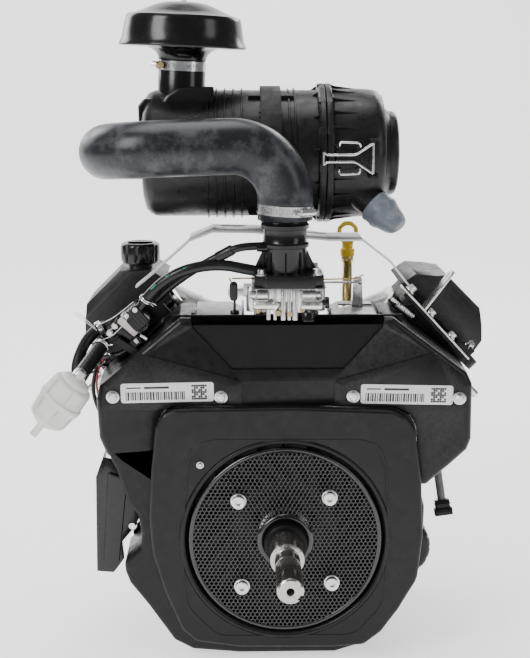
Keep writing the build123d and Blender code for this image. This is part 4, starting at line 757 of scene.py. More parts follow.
def latches():
    """Wire bails with a triangular handle, the loops of wire beside them and the dark clip they snap over."""
    for outward, word in ((-1, "front"), (1, "rear")):
        body = f"{word}_latch"
        depth, rise = CANISTER_DEPTH + outward * LATCH_STAND, CANISTER_RISE
        bar = LATCH_PIN_X - 2
        legs = [[(bar, depth, rise + s * HANDLE_HALF), (LATCH_PIN_X - 22, depth, rise + s * NECK_HALF),
            (LATCH_HOOK_X + 5, depth, rise + s * NECK_HALF), (LATCH_HOOK_X, depth, rise + s * HOOK_HALF)]
            for s in (-1, 1)]
        ends = [[(bar, depth, rise - HANDLE_HALF), (bar, depth, rise + HANDLE_HALF)],
            [(LATCH_HOOK_X, depth, rise - HOOK_HALF), (LATCH_HOOK_X, depth, rise + HOOK_HALF)]]
        wire(f"latch_{word}_bail", legs + ends, 1.5, "clamp_steel", body, bend=4,
            stands_for=(f"latch_{word}",), slot="clamp_steel")
        loops = []
        for s in (-1, 1):
            loops.append([(66, depth - outward * 9, rise + s * 12), (63, depth - outward * 1, rise + s * 14),
                (64, depth, rise + s * 18.5), (86, depth, rise + s * 17.5),
                (88, depth - outward * 1, rise + s * 13), (84, depth - outward * 9, rise + s * 11)])
        wire(f"lid_loops_{word}", loops, 1.3, "clamp_steel", "air_cleaner_cover", bend=4)
        clip = rounded([(60, -9.5), (84, -7), (90, -4), (90, 4), (84, 7), (60, 9.5)], 3)
        plate(f"lid_clip_{word}", [clip], at(0, CANISTER_DEPTH + outward * (LATCH_STAND - 3), rise), RIGHT,
            UP * -outward, -9.0, "black_plastic", "air_cleaner_cover", edge=0.8)
        for s in (-1, 1):                        # ears of the lid that hold the pin
            bm = fresh()
            prism_into(bm, [(97, 70), (98, 88.5), (108, 88.5), (110, 70)], lambda x, r,
                half: at(x, CANISTER_DEPTH + outward * r, rise + s * 21 + half), 3.2)
            piece(f"lid_ear_{word}_{'low' if s < 0 else 'high'}", done(bm, "ear"), "black_plastic",
                "air_cleaner_cover", smooth=30, bevel=0.5)


VALVE_SIDES = 56
VALVE_ROOT = at(96, CANISTER_DEPTH - 49, 384)
VALVE_AXIS = Vector((0.68, -0.42, -0.60)).normalized()


def dust_valve():
    body = "air_cleaner_cover"
    lathe("valve_spout", [(14, -8), (18.5, -8), (18.5, 3), (17.6, 6), (17.6, 24), (14, 24)], VALVE_ROOT,
        VALVE_AXIS, "black_plastic", body, closed=True, sides=64)
    u, v, w = frame_for(VALVE_AXIS, Vector((0.6, 0.8, 0.0)))
    bm = fresh()
    sections = [(19.2, 1.0, 15.5), (20.6, 1.0, 16.2), (21.0, 1.0, 18.0), (20.6, 1.0, 20.5), (20.0, 1.0, 22.5),
        (20.0, 1.0, 27.0), (20.8, 1.0, 29.0), (21.0, 1.0, 31.0), (20.4, 0.98, 33.5), (19.5, 0.9, 38.0),
        (18.9, 0.84, 44.0), (18.3, 0.76, 50.0), (17.2, 0.68, 54.5), (14.5, 0.6, 57.2), (9, 0.5, 58.4)]
    around = [2 * pi * k / VALVE_SIDES for k in range(VALVE_SIDES)]
    rings = [[bm.verts.new(VALVE_ROOT + (u * cos(a) + v * sin(a) * squash) * radius * MM + w * height * MM)
        for a in around] for radius, squash, height in sections]
    skin_into(bm, rings)
    bm.faces.new(rings[-1])
    bm.faces.new(rings[0][::-1])
    built(bm, "dust_valve_boot", "valve_rubber", body, stands_for=("dust_valve",), slot="valve_rubber",
        smooth=50, subdivide=1)


CAP_FOOT = at(-119, CANISTER_DEPTH, INLET_FOOT)
LEAN = Vector((sin(radians(2.5)), 0, cos(radians(2.5))))


def precleaner():
    shell = [(24, 24), (28.3, 24.5), (28.7, 27.5), (31, 32), (36, 36), (42, 38.4), (52, 40), (62, 40.8),
        (69, 40.4), (73.6, 39.0), (75.2, 39.4), (75.6, 41), (74.6, 43.6), (72.8, 46.5), (70.6, 58),
        (68.6, 69.5), (67.8, 73.2), (66.2, 75.2), (63, 76.0), (56, 77.6), (48, 81), (36, 86.4), (27, 89.3),
        (20, 90.6), (10, 91.3), (0, 91.4), (0, 88), (24, 85), (56, 73), (65, 66), (66, 46), (24, 42)]
    lathe("precleaner_hood", shell, CAP_FOOT, LEAN, "gloss_plastic", closed=True, sides=160,
        stands_for=("precleaner_cap",), slot="black_plastic", smooth=28)
    lathe("precleaner_nub", [(0, 91.0), (3.2, 91.2), (3.4, 92.6), (2.2, 93.4), (0, 93.6)], CAP_FOOT, LEAN,
        "pale_nylon", sides=24, smooth=50)
    lathe("precleaner_neck", [(24, -18), (28, -18), (28, 26.5), (27, 28), (24, 28)], CAP_FOOT, LEAN,
        "gloss_plastic", closed=True, sides=96, stands_for=("inlet_neck",), slot="black_plastic", smooth=50)
    worm_clamp("neck_band", CAP_FOOT + LEAN * 17.5 * MM, LEAN, 28.2, 11, radians(205), ("neck_clamp",),
        "bronze_screw")


canister_body()
canister_cover()
latches()
dust_valve()
precleaner()
worm_clamp("hose_band", at(0, 42, 377.5), (0.05, 0, 1), 31.2, 11, radians(-52), ("hose_clamp",))


# ================================================================ fan screen
SCREEN_RADIUS = 111.0


def fan_screen():
    """A thin steel disc punched with round holes in rows, its hub boss and rolled rim."""
    pitch, hole, reach, hub = 5.0, 2.02, 108.0, 30.0
    across, corner = pitch / 2, pitch / sqrt(3)
    bm = fresh()
    crown = 2.6

    def point(x, y, lift=0.0):
        r = min(sqrt(x * x + y * y) / SCREEN_RADIUS, 1.0)
        return at(x, -1.0 - crown * (1 - r * r) - lift, y)

    for row in range(-26, 27):
        y = row * pitch * sqrt(3) / 2
        for column in range(-23, 24):
            x = column * pitch + (pitch / 2 if row % 2 else 0.0)
            if not hub < sqrt(x * x + y * y) < reach:
                continue
            inner, outer = [], []
            for k in range(12):
                a = radians(30 * k)
                radius = corner if k % 2 else across
                outer.append(bm.verts.new(point(x + radius * cos(a), y + radius * sin(a))))
                inner.append(bm.verts.new(point(x + hole * cos(a), y + hole * sin(a))))
            for k in range(12):
                bm.faces.new((outer[k], outer[(k + 1) % 12], inner[(k + 1) % 12], inner[k]))
    bmesh.ops.remove_doubles(bm, verts=bm.verts, dist=2e-5)
    lathe_into(bm, [(reach - 1.6, 1.1 + crown * 0.06), (reach + 1.2, 1.2), (SCREEN_RADIUS - 0.8, 0.9),
        (SCREEN_RADIUS, 0.0), (SCREEN_RADIUS, -4.5)], at(0, 0, 0), FRONT, 160)
    lathe_into(bm, [(hub + 3, 1.15 + crown * 0.93), (hub - 1, 1.8 + crown), (24.5, 2.2 + crown)], at(0, 0, 0),
        FRONT, 96)
    made = built(bm, "fan_screen_mesh", "screen_black", "crank", stands_for=("debris_screen",),
        slot="screen_black", smooth=40)
    thick = made.modifiers.new("gauge", "SOLIDIFY")
    thick.thickness, thick.offset = 0.9 * MM, -1.0
    lathe("fan_screen_hub", [(19.2, 0), (24.5, 0), (24.5, 16.5), (23, 18), (19.2, 18)], at(0, 0, 0), FRONT,
        "panel_black", "crank", closed=True, sides=72)


fan_screen()


# ================================================================ fan housing, panel and labels
PLATE_OUTLINE = [(-100, 157, 10), (-125, 156, 8), (-138, 151, 10), (-147, 137, 14), (-153, 83, 40),
    (-156, 25, 60), (-153, -17, 60), (-139, -65, 40), (-120, -111, 12), (-104, -126, 12), (-52, -134, 30),
    (56, -135, 30), (93, -132, 14), (113, -116, 14), (132, -89, 40), (154, -50, 30), (159, 4, 60),
    (156, 66, 60), (147, 132, 14), (137, 145, 10), (121, 153, 10), (11, 158, 60)]
SKIRT_OUTLINE = [(-125, 157), (-136, 153), (-145, 138), (-152, 108), (-204, 104), (-193, 80), (-181, 40),
    (-170, 26), (-166, 2), (-168, -14), (-187, -33), (-186, -44), (-181, -58), (-160, -86), (-130, -131),
    (-108, -143), (-52, -148), (60, -148), (82, -141), (99, -132), (108, -121), (139, -75), (154, -49),
    (159, -27), (162, 14), (162, 34), (155, 62), (150, 130), (142, 146), (124, 155)]
OPENING = 113.5
SKIRT_BACK, SKIRT_THICK, COVER_BACK, COVER_THICK = 94.5, 79.5, 17.0, 16.6
LINER_BACK = 20.5


def fan_housing():
    """The cover plate round the opening, the deep skirt behind it, and the rolled lip."""
    skirt = plate_mesh("skirt", [rounded(SKIRT_OUTLINE, 7), circle(0, 0, 124, 128)], at(0, SKIRT_BACK, 0),
        RIGHT, UP, SKIRT_THICK, 3.5)
    piece("fan_housing_skirt", skirt, "shroud_black", slot="shroud_black", smooth=40)
    cover = plate_mesh("cover", [rounded(PLATE_OUTLINE, 8, 8), circle(0, 0, 119, 160)], at(0, COVER_BACK, 0),
        RIGHT, UP, COVER_THICK, 3.0)
    piece("fan_housing_cover", cover, "shroud_black", stands_for=("fan_housing",), slot="shroud_black",
        smooth=50)
    lip = [(121, -10), (121, 0.2), (119.4, 1.2), (117.4, 0.9), (115, -1.5), (OPENING, -6), (OPENING, -15),
        (116, -15)]
    lathe("fan_housing_lip", lip, at(0, 0, 0), FRONT, "shroud_black", closed=True, sides=180, smooth=60,
        slot="shroud_black")
    # a low step that frames the field round the opening
    step = rounded([(-112, 92, 26), (-106, 116, 22), (-78, 122, 24), (84, 121, 24), (108, 114, 22),
        (116, 88, 30), (122, 0, 60), (116, -84, 40), (84, -121, 30), (-80, -121, 30), (-116, -84, 40),
        (-122, 0, 60)], 30, 8)
    inner = [p * 0.975 for p in step]
    frame_mesh = plate_mesh("step", [step, inner], at(0, 0.9, 0), RIGHT, UP, 1.2, 0.35)
    piece("fan_housing_step", frame_mesh, "shroud_black", slot="shroud_black", smooth=50)
    bolts("cover_screw", [at(-97, 0.3, 92)], FRONT, 5.0, 3.0, "panel_black", washer=4.4)


def panel_liner():
    """A dark sheet in the recess, in front of the panel, and the rims of the panel's holes."""
    outline = rounded([(-112, 176), (-112, 240), (-104, 250), (110, 250), (118, 240), (118, 176)], 3)
    plate("panel_liner", [outline], at(0, LINER_BACK, 0), RIGHT, UP, 2.5, "panel_black", edge=0.5,
        slot="panel_black")
    rims = fresh()
    for x, rise, radius in ((-47, 228, 6), (4, 228, 7.7), (-33, 220, 4), (3, 203, 4), (54, 227, 4)):
        lathe_into(rims, [(radius - 0.05, 0.2), (radius + 0.7, 0.5), (radius + 1.3, 0.1),
            (radius + 1.3, -1.5), (radius - 0.05, -1.5)], at(x, PANEL_DEPTH, rise), FRONT, 40, closed=True)
    built(rims, "panel_hole_rims", "panel_black", slot="panel_black", smooth=50)


PANEL_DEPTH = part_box("top_panel")[0].y / MM + OPENING_BEHIND
LABEL_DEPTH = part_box("label_plates")[0].y / MM + OPENING_BEHIND


def label_marks():
    """Plain bars and an abstract chequer on the labels, in place of what real ones carry."""
    for word, x, rise, tilt in (("left", -133.5, 173.5, -0.9), ("right", 138.0, 169.5, 1.3)):
        turn = radians(-tilt)
        c, s = cos(turn), sin(turn)
        boxes, reach = [], -47.0
        for k in range(27):
            wide = (0.9, 1.6, 1.1, 2.0)[(k * 3 + k // 4) % 4]
            boxes.append((reach + wide / 2, -3.6, wide, 9.6))
            reach += wide + (1.1, 0.8, 1.5)[(k * 2 + k // 5) % 3]
            if reach > 19:
                break
        boxes += [(-38, 6.0, 16, 1.5), (-12, 6.0, 28, 2.4)]
        for row in range(7):
            for column in range(7):
                if (row * 5 + column * 3 + row * column) % 3 != 1:
                    boxes.append((28.5 + column * 2.5, -7.6 + row * 2.5, 2.2, 2.2))
        bm = fresh()
        for bx, by, wide, high in boxes:
            corners = []
            for a, b in ((-1, -1), (1, -1), (1, 1), (-1, 1)):
                px, py = bx + a * wide / 2, by + b * high / 2
                corners.append(bm.verts.new(at(x + c * px - s * py, LABEL_DEPTH - 0.08,
                    rise + s * px + c * py)))
            bm.faces.new(corners)
        mesh = done(bm, f"label_marks_{word}")
        made = piece(f"label_marks_{word}", mesh, "print_grey")
        ink = made.modifiers.new("ink", "SOLIDIFY")
        ink.thickness, ink.offset = 0.08 * MM, 0.0


fan_housing()
panel_liner()
label_marks()
bolts("panel_screws", [at(x, PANEL_DEPTH + 0.2, rise) for x, rise in ((-70, 236), (76, 235))], FRONT, 9.6,
    5.4, "print_grey", washer=7.0, socket=2.8, slot="panel_black")
bolts("guard_screw", [at(-180, 49.2, 1)], FRONT, 7.5, 4.0, "plated_bolts", washer=6.4)

# ================================================================ air adapter, carburetor and choke
TOWER = (0.0, 42.0)


def air_adapter():
    """A round tube with rims and thin gussets on an eight-sided flange."""
    foot = at(TOWER[0], TOWER[1], 0)
    tube = [(20, 300), (24.6, 300), (24.6, 334), (25.2, 335.2), (27.2, 335.8), (27.4, 339.4), (25.4, 340.4),
        (24.6, 342), (24.4, 353), (24.9, 355.5), (27.0, 356.4), (27.3, 360.6), (25.6, 362), (24.8, 364),
        (24.6, 396), (20, 396)]
    lathe("adapter_tube", tube, foot, UP, "gloss_plastic", closed=True, sides=96, stands_for=("air_adapter",),
        slot="black_plastic", smooth=40)
    x, depth, half, deep, cut = 4.0, TOWER[1], 39.0, 35.0, 13.0
    octagon = [(x - half + cut, depth - deep), (x + half - cut, depth - deep), (x + half, depth - deep + cut),
        (x + half, depth + deep - cut), (x + half - cut, depth + deep), (x - half + cut, depth + deep),
        (x - half, depth + deep - cut), (x - half, depth - deep + cut)]
    slab = plate_mesh("slab", [rounded(octagon, 3), circle(0, TOWER[1], 20, 48)], at(0, 0, 292.5), RIGHT,
        BACK, 14.0, 1.2)
    piece("adapter_flange", slab, "black_plastic", slot="black_plastic", smooth=35)
    bm = fresh()
    for angle in (0, 48, 90, 132, 180, 225, 270, 315):
        a = radians(-angle)
        out, side = Vector((cos(a), sin(a), 0)), Vector((-sin(a), cos(a), 0))
        low = 36.5 if angle in (0, 180) else 28.5
        prism_into(bm, [(23, 306), (low, 306), (low - 1, 309), (25.6, 330.5), (23, 332)], lambda r, h,
            half: foot + (out * r + side * half + UP * h) * MM, 2.0)
    built(bm, "adapter_gussets", "gloss_plastic", **MOULDED, bevel=0.3)
    bolts("adapter_bolts", [at(-27, 18, 306.5), at(34.5, 20, 306.5), at(-27, 66, 306.5), at(34.5, 66, 306.5)],
        UP, 8.0, 6.5, washer=6.4)
    for word, place, axis in (("breather", at(-26, 32, 335), -RIGHT), ("fuel", at(-33, 36, 308), -RIGHT)):
        lathe(f"adapter_{word}_spigot", [(0, -6), (4.4, -6), (4.4, 6), (0, 6)], place, axis, "gloss_plastic",
            sides=32)


def carburetor_details():
    """Cast columns, the two cross bosses, caps and screws on the carburetor's front."""
    def bar(bm, place, axis, profile, sides=40):
        lathe_into(bm, profile, place, axis, sides)
    bm = fresh()
    for x, radius, depth in ((-19, 2.6, 23), (-11.5, 2.0, 22), (-2.5, 2.9, 20.5), (4.2, 2.1, 20.5),
            (11, 3.4, 21), (20, 2.4, 22), (26, 2.0, 23)):
        bar(bm, at(x, depth, 255), UP, [(0, 0), (radius, 0), (radius, 38), (radius * 0.8, 39), (0, 39)], 28)
    built(bm, "carburetor_columns", "cast_aluminium", slot="cast_aluminium", smooth=40)
    bm = fresh()
    boss = [(0, 0), (4.6, 0), (5.8, 1.0), (6.0, 2.2), (6.0, 22), (5.2, 24), (4.0, 24.8), (0, 24.8)]
    bar(bm, at(-12, 20, 272.5), -RIGHT, boss)
    bar(bm, at(17, 20, 272), RIGHT, boss)
    bar(bm, at(19, 21, 284), RIGHT, [(0, 0), (4.6, 0), (4.6, 15), (3.6, 16), (3.6, 20), (0, 20)])
    bar(bm, at(-20, 21, 284), -RIGHT, [(0, 0), (5.2, 0), (5.2, 12), (4.2, 13), (4.2, 20), (0, 20)])
    bar(bm, at(-12, 15.6, 272.5), FRONT, [(0, -4), (4.2, -4), (4.2, 0.6), (3.4, 1.2), (0, 1.2)])
    bar(bm, at(23, 15.6, 272), FRONT, [(0, -4), (3.2, -4), (3.2, 0.4), (2.4, 0.8), (0, 0.8)])
    built(bm, "carburetor_bosses", "cast_aluminium", slot="cast_aluminium", smooth=40)
    bm = fresh()
    bar(bm, at(26, 22, 263), UP, [(0, -9), (8.4, -9), (8.4, 0), (7.6, 1), (0, 1)])
    bar(bm, at(44, 20, 275), RIGHT, [(0, -3), (3.0, -3), (3.0, 0), (6.2, 0.4), (6.6, 1.5), (6.6, 4.0),
        (6.0, 4.8), (0, 4.8)])
    built(bm, "idle_screw_caps", "gloss_plastic", slot="black_plastic", smooth=40)
    bm = fresh()
    for x, rise in ((-31, 266), (-8, 263), (5, 262), (19, 267)):
        hex_head(bm, at(x, 20.5, rise), FRONT, 5.5, 3.0, washer=3.6)
    built(bm, "carburetor_screws", "bronze_screw", slot="plated_bolts", smooth=28)
    gasket = rounded([(-37, 10), (45, 10), (45, 92), (-37, 92)], 8)
    plate("carburetor_gasket", [gasket, circle(2, 52, 19, 40)], at(0, 0, 292.2), RIGHT, BACK, 0.9,
        "print_grey")
    wire("choke_rods", [[(-60, 58, 296), (-40, 56, 296.5), (-12, 60, 296)], [(-63, 56, 297), (-61, 56, 292)]],
        0.9, "tube_brass", bend=2)
    wire("control_rods", [[(44, 66, 293), (84, 70, 293.2), (92, 74, 297)]], 0.9, "tube_brass", bend=3)


def choke_grip():
    """The choke lever's oval grip and stem, and the stop post and pale housing beside them."""
    bm = fresh()
    grip = plate_mesh("grip", [box_outline(0, 0, 9, 22, 4.4, steps=8)], at(-58, 41, 285), RIGHT, UP, 7.0, 2.2)
    lathe_into(bm, [(0, 0), (3, 0), (3, 22), (0, 22)], at(-58, 61, 282), FRONT, 24)
    bm.from_mesh(grip)
    built(bm, "choke_grip", "gloss_plastic", "choke", stands_for=("choke_lever",), slot="black_plastic",
        smooth=50)
    bm = fresh()
    lathe_into(bm, [(0, 0), (1.5, 0), (1.5, 18), (0, 18)], at(-57, 45, 257), UP, 20)
    lathe_into(bm, [(0, 0), (4.6, 0), (5.4, 1.2), (5.2, 4.4), (4.0, 5.6), (0, 5.6)], at(-57, 45, 256.4), UP,
        32)
    built(bm, "choke_stop_post", "gloss_plastic", slot="black_plastic", smooth=50)
    lathe("choke_return_housing", [(0, 0), (7.2, 0), (7.6, 0.6), (7.6, 12), (6.8, 13), (0, 13)],
        at(-34, 44, 285), -RIGHT, "pale_nylon", sides=40)


air_adapter()
carburetor_details()
choke_grip()


# ================================================================ fuel pump, filter and hoses, on the left
SHOULDER = atan2(78, 93)
ALONG_SHOULDER = Vector((cos(SHOULDER), 0, sin(SHOULDER)))
OFF_SHOULDER = Vector((-sin(SHOULDER), 0, cos(SHOULDER)))
PUMP = (-181.0, 236.0)
PUMP_MIDDLE = 62.0


def leaning(depth, u, v):
    """A place in the pump's own tilted frame: u runs up the housing's shoulder, v away from it."""
    c, s = cos(SHOULDER), sin(SHOULDER)
    return at(PUMP[0] + c * u - s * v, depth, PUMP[1] + s * u + c * v)


def fuel_pump():
    """A moulded pump in three stacked bodies, with its diaphragm plate, cover screws, tab and connector."""
    def block(name, u, v, wide, high, front, deep, look, radius=3.0, edge=1.0, turn=0.0, **more):
        mesh = plate_mesh(name, [box_outline(u, v, wide, high, radius, turn)],
            at(PUMP[0], front + deep, PUMP[1]), ALONG_SHOULDER, OFF_SHOULDER, deep, edge)
        piece(name, mesh, look, smooth=35, **more)
    block("pump_body", 0, 0, 50, 27, 47, 38, "gloss_plastic", 5, 1.5, stands_for=("fuel_pump",),
        slot="black_plastic")
    block("pump_head", 20, 5, 22, 27, 40, 44, "gloss_plastic", 6, 2.0, slot="black_plastic")
    block("pump_diaphragm", 6.5, 4, 9, 26, 41, 40, "gasket_pink", 2.0, 0.8, 0.15)
    block("pump_flange", 1.0, 4, 2.5, 29, 40, 42, "black_plastic", 1.0, 0.4, 0.15)
    block("pump_lower", -21, -5, 26, 22, 44, 42, "black_plastic", 5, 1.5)
    block("pump_tab", -9, -12, 27, 9, 36, 5, "black_plastic", 3, 0.8, -1.25)
    block("pump_plug", 2, -15, 12, 9, 37, 22, "black_plastic", 1.5, 0.8)
    block("pump_plug_latch", 4, -14, 4.0, 5.5, 34.6, 3, "pale_nylon", 0.8, 0.4)
    block("pump_plug_key", 13.0, -16, 9.0, 2.6, 36, 4, "plated_bolts", 0.6, 0.3, -1.3)
    ribs = fresh()
    for k in range(7):
        u = -31 + 3.4 * k
        prism_into(ribs, [(u, 4), (u, 12.2), (u + 1.5, 12.2), (u + 1.5, 4)], lambda a, b,
            half: leaning(PUMP_MIDDLE + half, a, b), 30)
    for k in range(4):
        u = 12 + 4.2 * k
        prism_into(ribs, [(u, -9), (u, 18.6), (u + 1.5, 18.6), (u + 1.5, -9)], lambda a, b,
            half: leaning(PUMP_MIDDLE + half, a, b), 45)
    built(ribs, "pump_ribs", "gloss_plastic", **MOULDED, bevel=0.3)
    spots = [leaning(42, u, v) for u, v in ((-14, 12), (-4, 14.5), (14, 15), (26, 14))]
    bolts("pump_screws", spots, FRONT, 5.5, 4.0, "plated_bolts", washer=4.0)
    posts = fresh()
    for u, v, reach in ((-7, 14, 7), (-24, 10, 6), (4, 17, 4)):
        lathe_into(posts, [(0, 0), (2.3, 0), (2.3, reach), (1.6, reach + 0.8), (0, reach + 0.8)],
            leaning(52, u, v), OFF_SHOULDER, 24)
    built(posts, "pump_posts", "gloss_plastic", slot="black_plastic", smooth=40)
    wire("pump_tie", [[(-213, 40, 246), (-196, 37, 254), (-180, 38, 266), (-172, 44, 272)],
        [(-210, 40, 228), (-196, 36, 234), (-184, 36, 246), (-178, 37, 256)]], 0.5, "pale_nylon", bend=6)
    wire("tie_tail", [[(-214, 40, 240), (-226, 38, 250), (-240, 38, 262)], [(-216, 42, 242), (-226, 42, 252),
        (-235, 42, 260)]], 0.45, "filter_nylon", bend=8)


def spring_clamp(name, place, axis, radius):
    """A round-wire hose clamp: two turns and two turned-out ends."""
    u, v, w = frame_for(axis)
    turns, count = [], 60
    for k in range(count + 1):
        a = radians(20 + 680 * k / count)
        turns.append(place + (u * cos(a) + v * sin(a)) * radius * MM + w * (-2.2 + 4.4 * k / count) * MM)
    for end in (0, -1):
        out = (turns[end] - place).normalized()
        tail = turns[end] + out * 5.5 * MM
        turns = [tail] + turns if end == 0 else turns + [tail]
    piece(name, tube_mesh(name, turns, 0.95), "clamp_steel", slot="clamp_steel", smooth=60)


HOSES = {
    "breather_hose": ([(-150, 60, 268), (-138, 54, 281), (-119, 48, 297), (-97, 43, 312), (-77, 38, 324),
        (-60, 33, 333), (-44, 32, 337), (-26, 34, 337)], 4.6),
    "fuel_hose": ([(-161, 45, 270), (-151, 42, 283), (-135, 38, 298), (-115, 35, 309), (-90, 35, 315),
        (-66, 36, 315), (-48, 37, 311), (-32, 37, 308)], 6.4),
    "loop_hose": ([(-207, 62, 240), (-216, 58, 237), (-226, 52, 228), (-233, 42, 215), (-237, 32, 201),
        (-236, 24, 192), (-228, 22, 188)], 6.6),
}


def hose_pieces():
    for name, (route, radius) in HOSES.items():
        more = {"stands_for": ("fuel_hoses",),
            "slot": "hose_rubber"} if name == "fuel_hose" else {"slot": "hose_rubber"}
        flexible(name, route, radius, "small_rubber", **more)
    # braided stub down to the fuel filter, with its ferrule
    top, end = at(-209, 40, 222), at(-228, -2, 199)
    axis = (end - top).normalized()
    length = (end - top).length / MM
    u, v, w = frame_for(axis)
    bm = fresh()
    rows, columns, bore, strand = 34, 40, 8.2, 0.35
    grid = []
    for row in range(rows + 1):
        h = length * row / rows
        grid.append([bm.verts.new(top + w * h * MM + (u * cos(2 * pi * k / columns) + v
            * sin(2 * pi * k / columns)) * (bore + strand * (((row + k) % 4) < 2)) * MM)
            for k in range(columns)])
    skin_into(bm, grid)
    built(bm, "filter_hose", "small_rubber", slot="hose_rubber", smooth=60)
    lathe("filter_ferrule", [(5, -1), (8.4, -1), (8.9, 0), (8.9, 8.5), (8.4, 9.2), (5, 9.2)], end, axis,
        "clamp_steel", closed=True, sides=64, slot="clamp_steel")
    lathe("loop_collar", [(6.8, -3), (7.8, -3), (8.0, -2), (8.0, 2.4), (7.8, 3), (6.8, 3)],
        at(-213, 59.5, 238.5), Vector((-0.85, -0.3, -0.42)), "clamp_steel", closed=True, sides=64,
        slot="clamp_steel")
    spring_clamp("hose_clip_top", at(-157.5, 44, 274), Vector((0.62, -0.15, 0.78)), 7.6)
    lathe("pump_outlet", [(0, -10), (5.6, -10), (5.6, 6), (0, 6)], at(-162, 45.5, 268),
        Vector((0.62, -0.15, 0.78)), "gloss_plastic", sides=32)
    spring_clamp("hose_clip_left", at(-210, 38, 221), axis, 9.3)
    lathe("breather_sleeve", [(4.4, 0), (5.9, 0), (6.1, 0.8), (6.1, 19), (5.9, 20), (4.4, 20)],
        at(-76, 37.2, 323.6), Vector((16, -4.2, 9.0)), "small_rubber", closed=True, sides=48)
    # printed dashes along the fuel hose
    facing = Vector((0, -0.8, 0.6))
    bm = fresh()
    for x, depth, rise, slope in ((-145, 40.2, 289.2, 0.98), (-130, 37.2, 300.6, 0.68),
            (-112, 35.4, 309.2, 0.36)):
        run = Vector((cos(atan2(slope, 1)), -0.35, sin(atan2(slope, 1)))).normalized()
        out = (facing - run * run.dot(facing)).normalized()
        side = run.cross(out)
        middle = at(x, depth, rise) + out * 6.2 * MM
        bm.faces.new([bm.verts.new(middle + (run * a * 4.6 + side * b * 0.9) * MM) for a,
            b in ((-1, -1), (1, -1), (1, 1), (-1, 1))])
    marks = built(bm, "fuel_hose_dashes", "dash_green")
    thick = marks.modifiers.new("ink", "SOLIDIFY")
    thick.thickness, thick.offset = 0.5 * MM, 0.0


def fuel_filter():
    axis = Vector((-55, 0, -67)).normalized()
    top = at(-230, -12, 196)
    shell = [(0, -9), (4.2, -9), (4.4, 0), (11, 0.4), (15.5, 1.4), (17.2, 3.5), (17.6, 6), (21.5, 7.2),
        (23.0, 9), (23.4, 12), (23.4, 28), (25.6, 28.8), (26.0, 30), (26.0, 33.4), (25.4, 34.6), (22.6, 35.4),
        (22.2, 37), (22.0, 54), (21.0, 57.6), (18, 60), (13, 61.5), (12, 64), (5, 65.5), (4.2, 67), (4.2, 82),
        (0, 82)]
    lathe("fuel_filter_body", shell, top, axis, "filter_nylon", sides=96, stands_for=("fuel_filter",),
        slot="filter_nylon", smooth=40)
    ribs = fresh()
    u, v, w = frame_for(axis)
    for k in range(6):
        a = radians(60 * k + 20)
        out, side = u * cos(a) + v * sin(a), -u * sin(a) + v * cos(a)
        prism_into(ribs, [(21.5, 36), (25.4, 35), (23.0, 54), (20.5, 55)], lambda r, h,
            half: top + (out * r + side * half + w * h) * MM, 1.6)
        prism_into(ribs, [(22.5, 9), (24.2, 10.5), (25.4, 29), (22.5, 29)], lambda r, h,
            half: top + (out * r + side * half + w * h) * MM, 1.6)
    built(ribs, "fuel_filter_ribs", "filter_nylon", slot="filter_nylon", smooth=30, bevel=0.3)


def left_cables():
    """The lead that drops from the pump and goes in behind the housing, tied with its red wire."""
    flexible("starter_lead", [(-192, 84, 216), (-206, 84, 206), (-217, 86, 194), (-224, 88, 176),
        (-227, 89, 156), (-222, 93, 132), (-212, 100, 112), (-204, 106, 104)], 2.4, "small_rubber",
        slot="hose_rubber")
    flexible("solenoid_wire", [(-204, 82, 208), (-216, 83, 190), (-221.5, 84, 172), (-221, 86, 152),
        (-214, 93, 132), (-206, 103, 118)], 1.3, "wire_red")
    wire("lead_tie", [[(-222, 80, 181), (-228, 84, 179), (-227, 92, 178), (-219, 90, 179), (-219, 82, 181)]],
        1.5, "black_plastic", bend=3)
    flexible("pump_lead", [(-178, 40, 218), (-188, 38, 211), (-200, 42, 210), (-211, 50, 206),
        (-216, 62, 198), (-214, 78, 190), (-208, 92, 186)], 2.0, "small_rubber")
    wire("lead_band", [[(-204, 52, 213), (-211, 46, 207), (-216, 48, 199), (-213, 56, 194), (-208, 60, 199)]],
        0.8, "filter_nylon", bend=5)


fuel_pump()
hose_pieces()
fuel_filter()
left_cables()


# ================================================================ oil filler cap and dipstick
def oil_cap():
    """A cap with wide flutes, a sunk top and a bar to grip."""
    low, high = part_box("oil_fill_cap")
    foot = Vector(((low.x + high.x) / 2, (low.y + high.y) / 2, low.z))

    def flutes(angle, radius, height):
        return radius - 1.7 * max(0.0, cos(11 * angle)) ** 2 if radius > 20 and 3 < height < 22 else radius
    profile = [(15.2, 0), (22.2, 0), (23.0, 1.2), (23.0, 2.6), (23.6, 4), (23.7, 12), (23.6, 20.5),
        (23.0, 22.6), (21.4, 24.3), (18.6, 24.9), (17.6, 24.3), (0, 24.3), (0, 14), (15.2, 14)]
    lathe("oil_cap_body", profile, foot, UP, "gloss_plastic", "oil_cap", closed=True, sides=176,
        ripple=flutes, stands_for=("oil_fill_cap",), slot="black_plastic", smooth=45)
    grip = plate_mesh("grip", [box_outline(0, 0, 30, 8, 3.5)], foot + UP * 24 * MM, RIGHT, BACK, 2.0, 0.7)
    piece("oil_cap_grip", grip, "gloss_plastic", "oil_cap", slot="black_plastic", smooth=40)


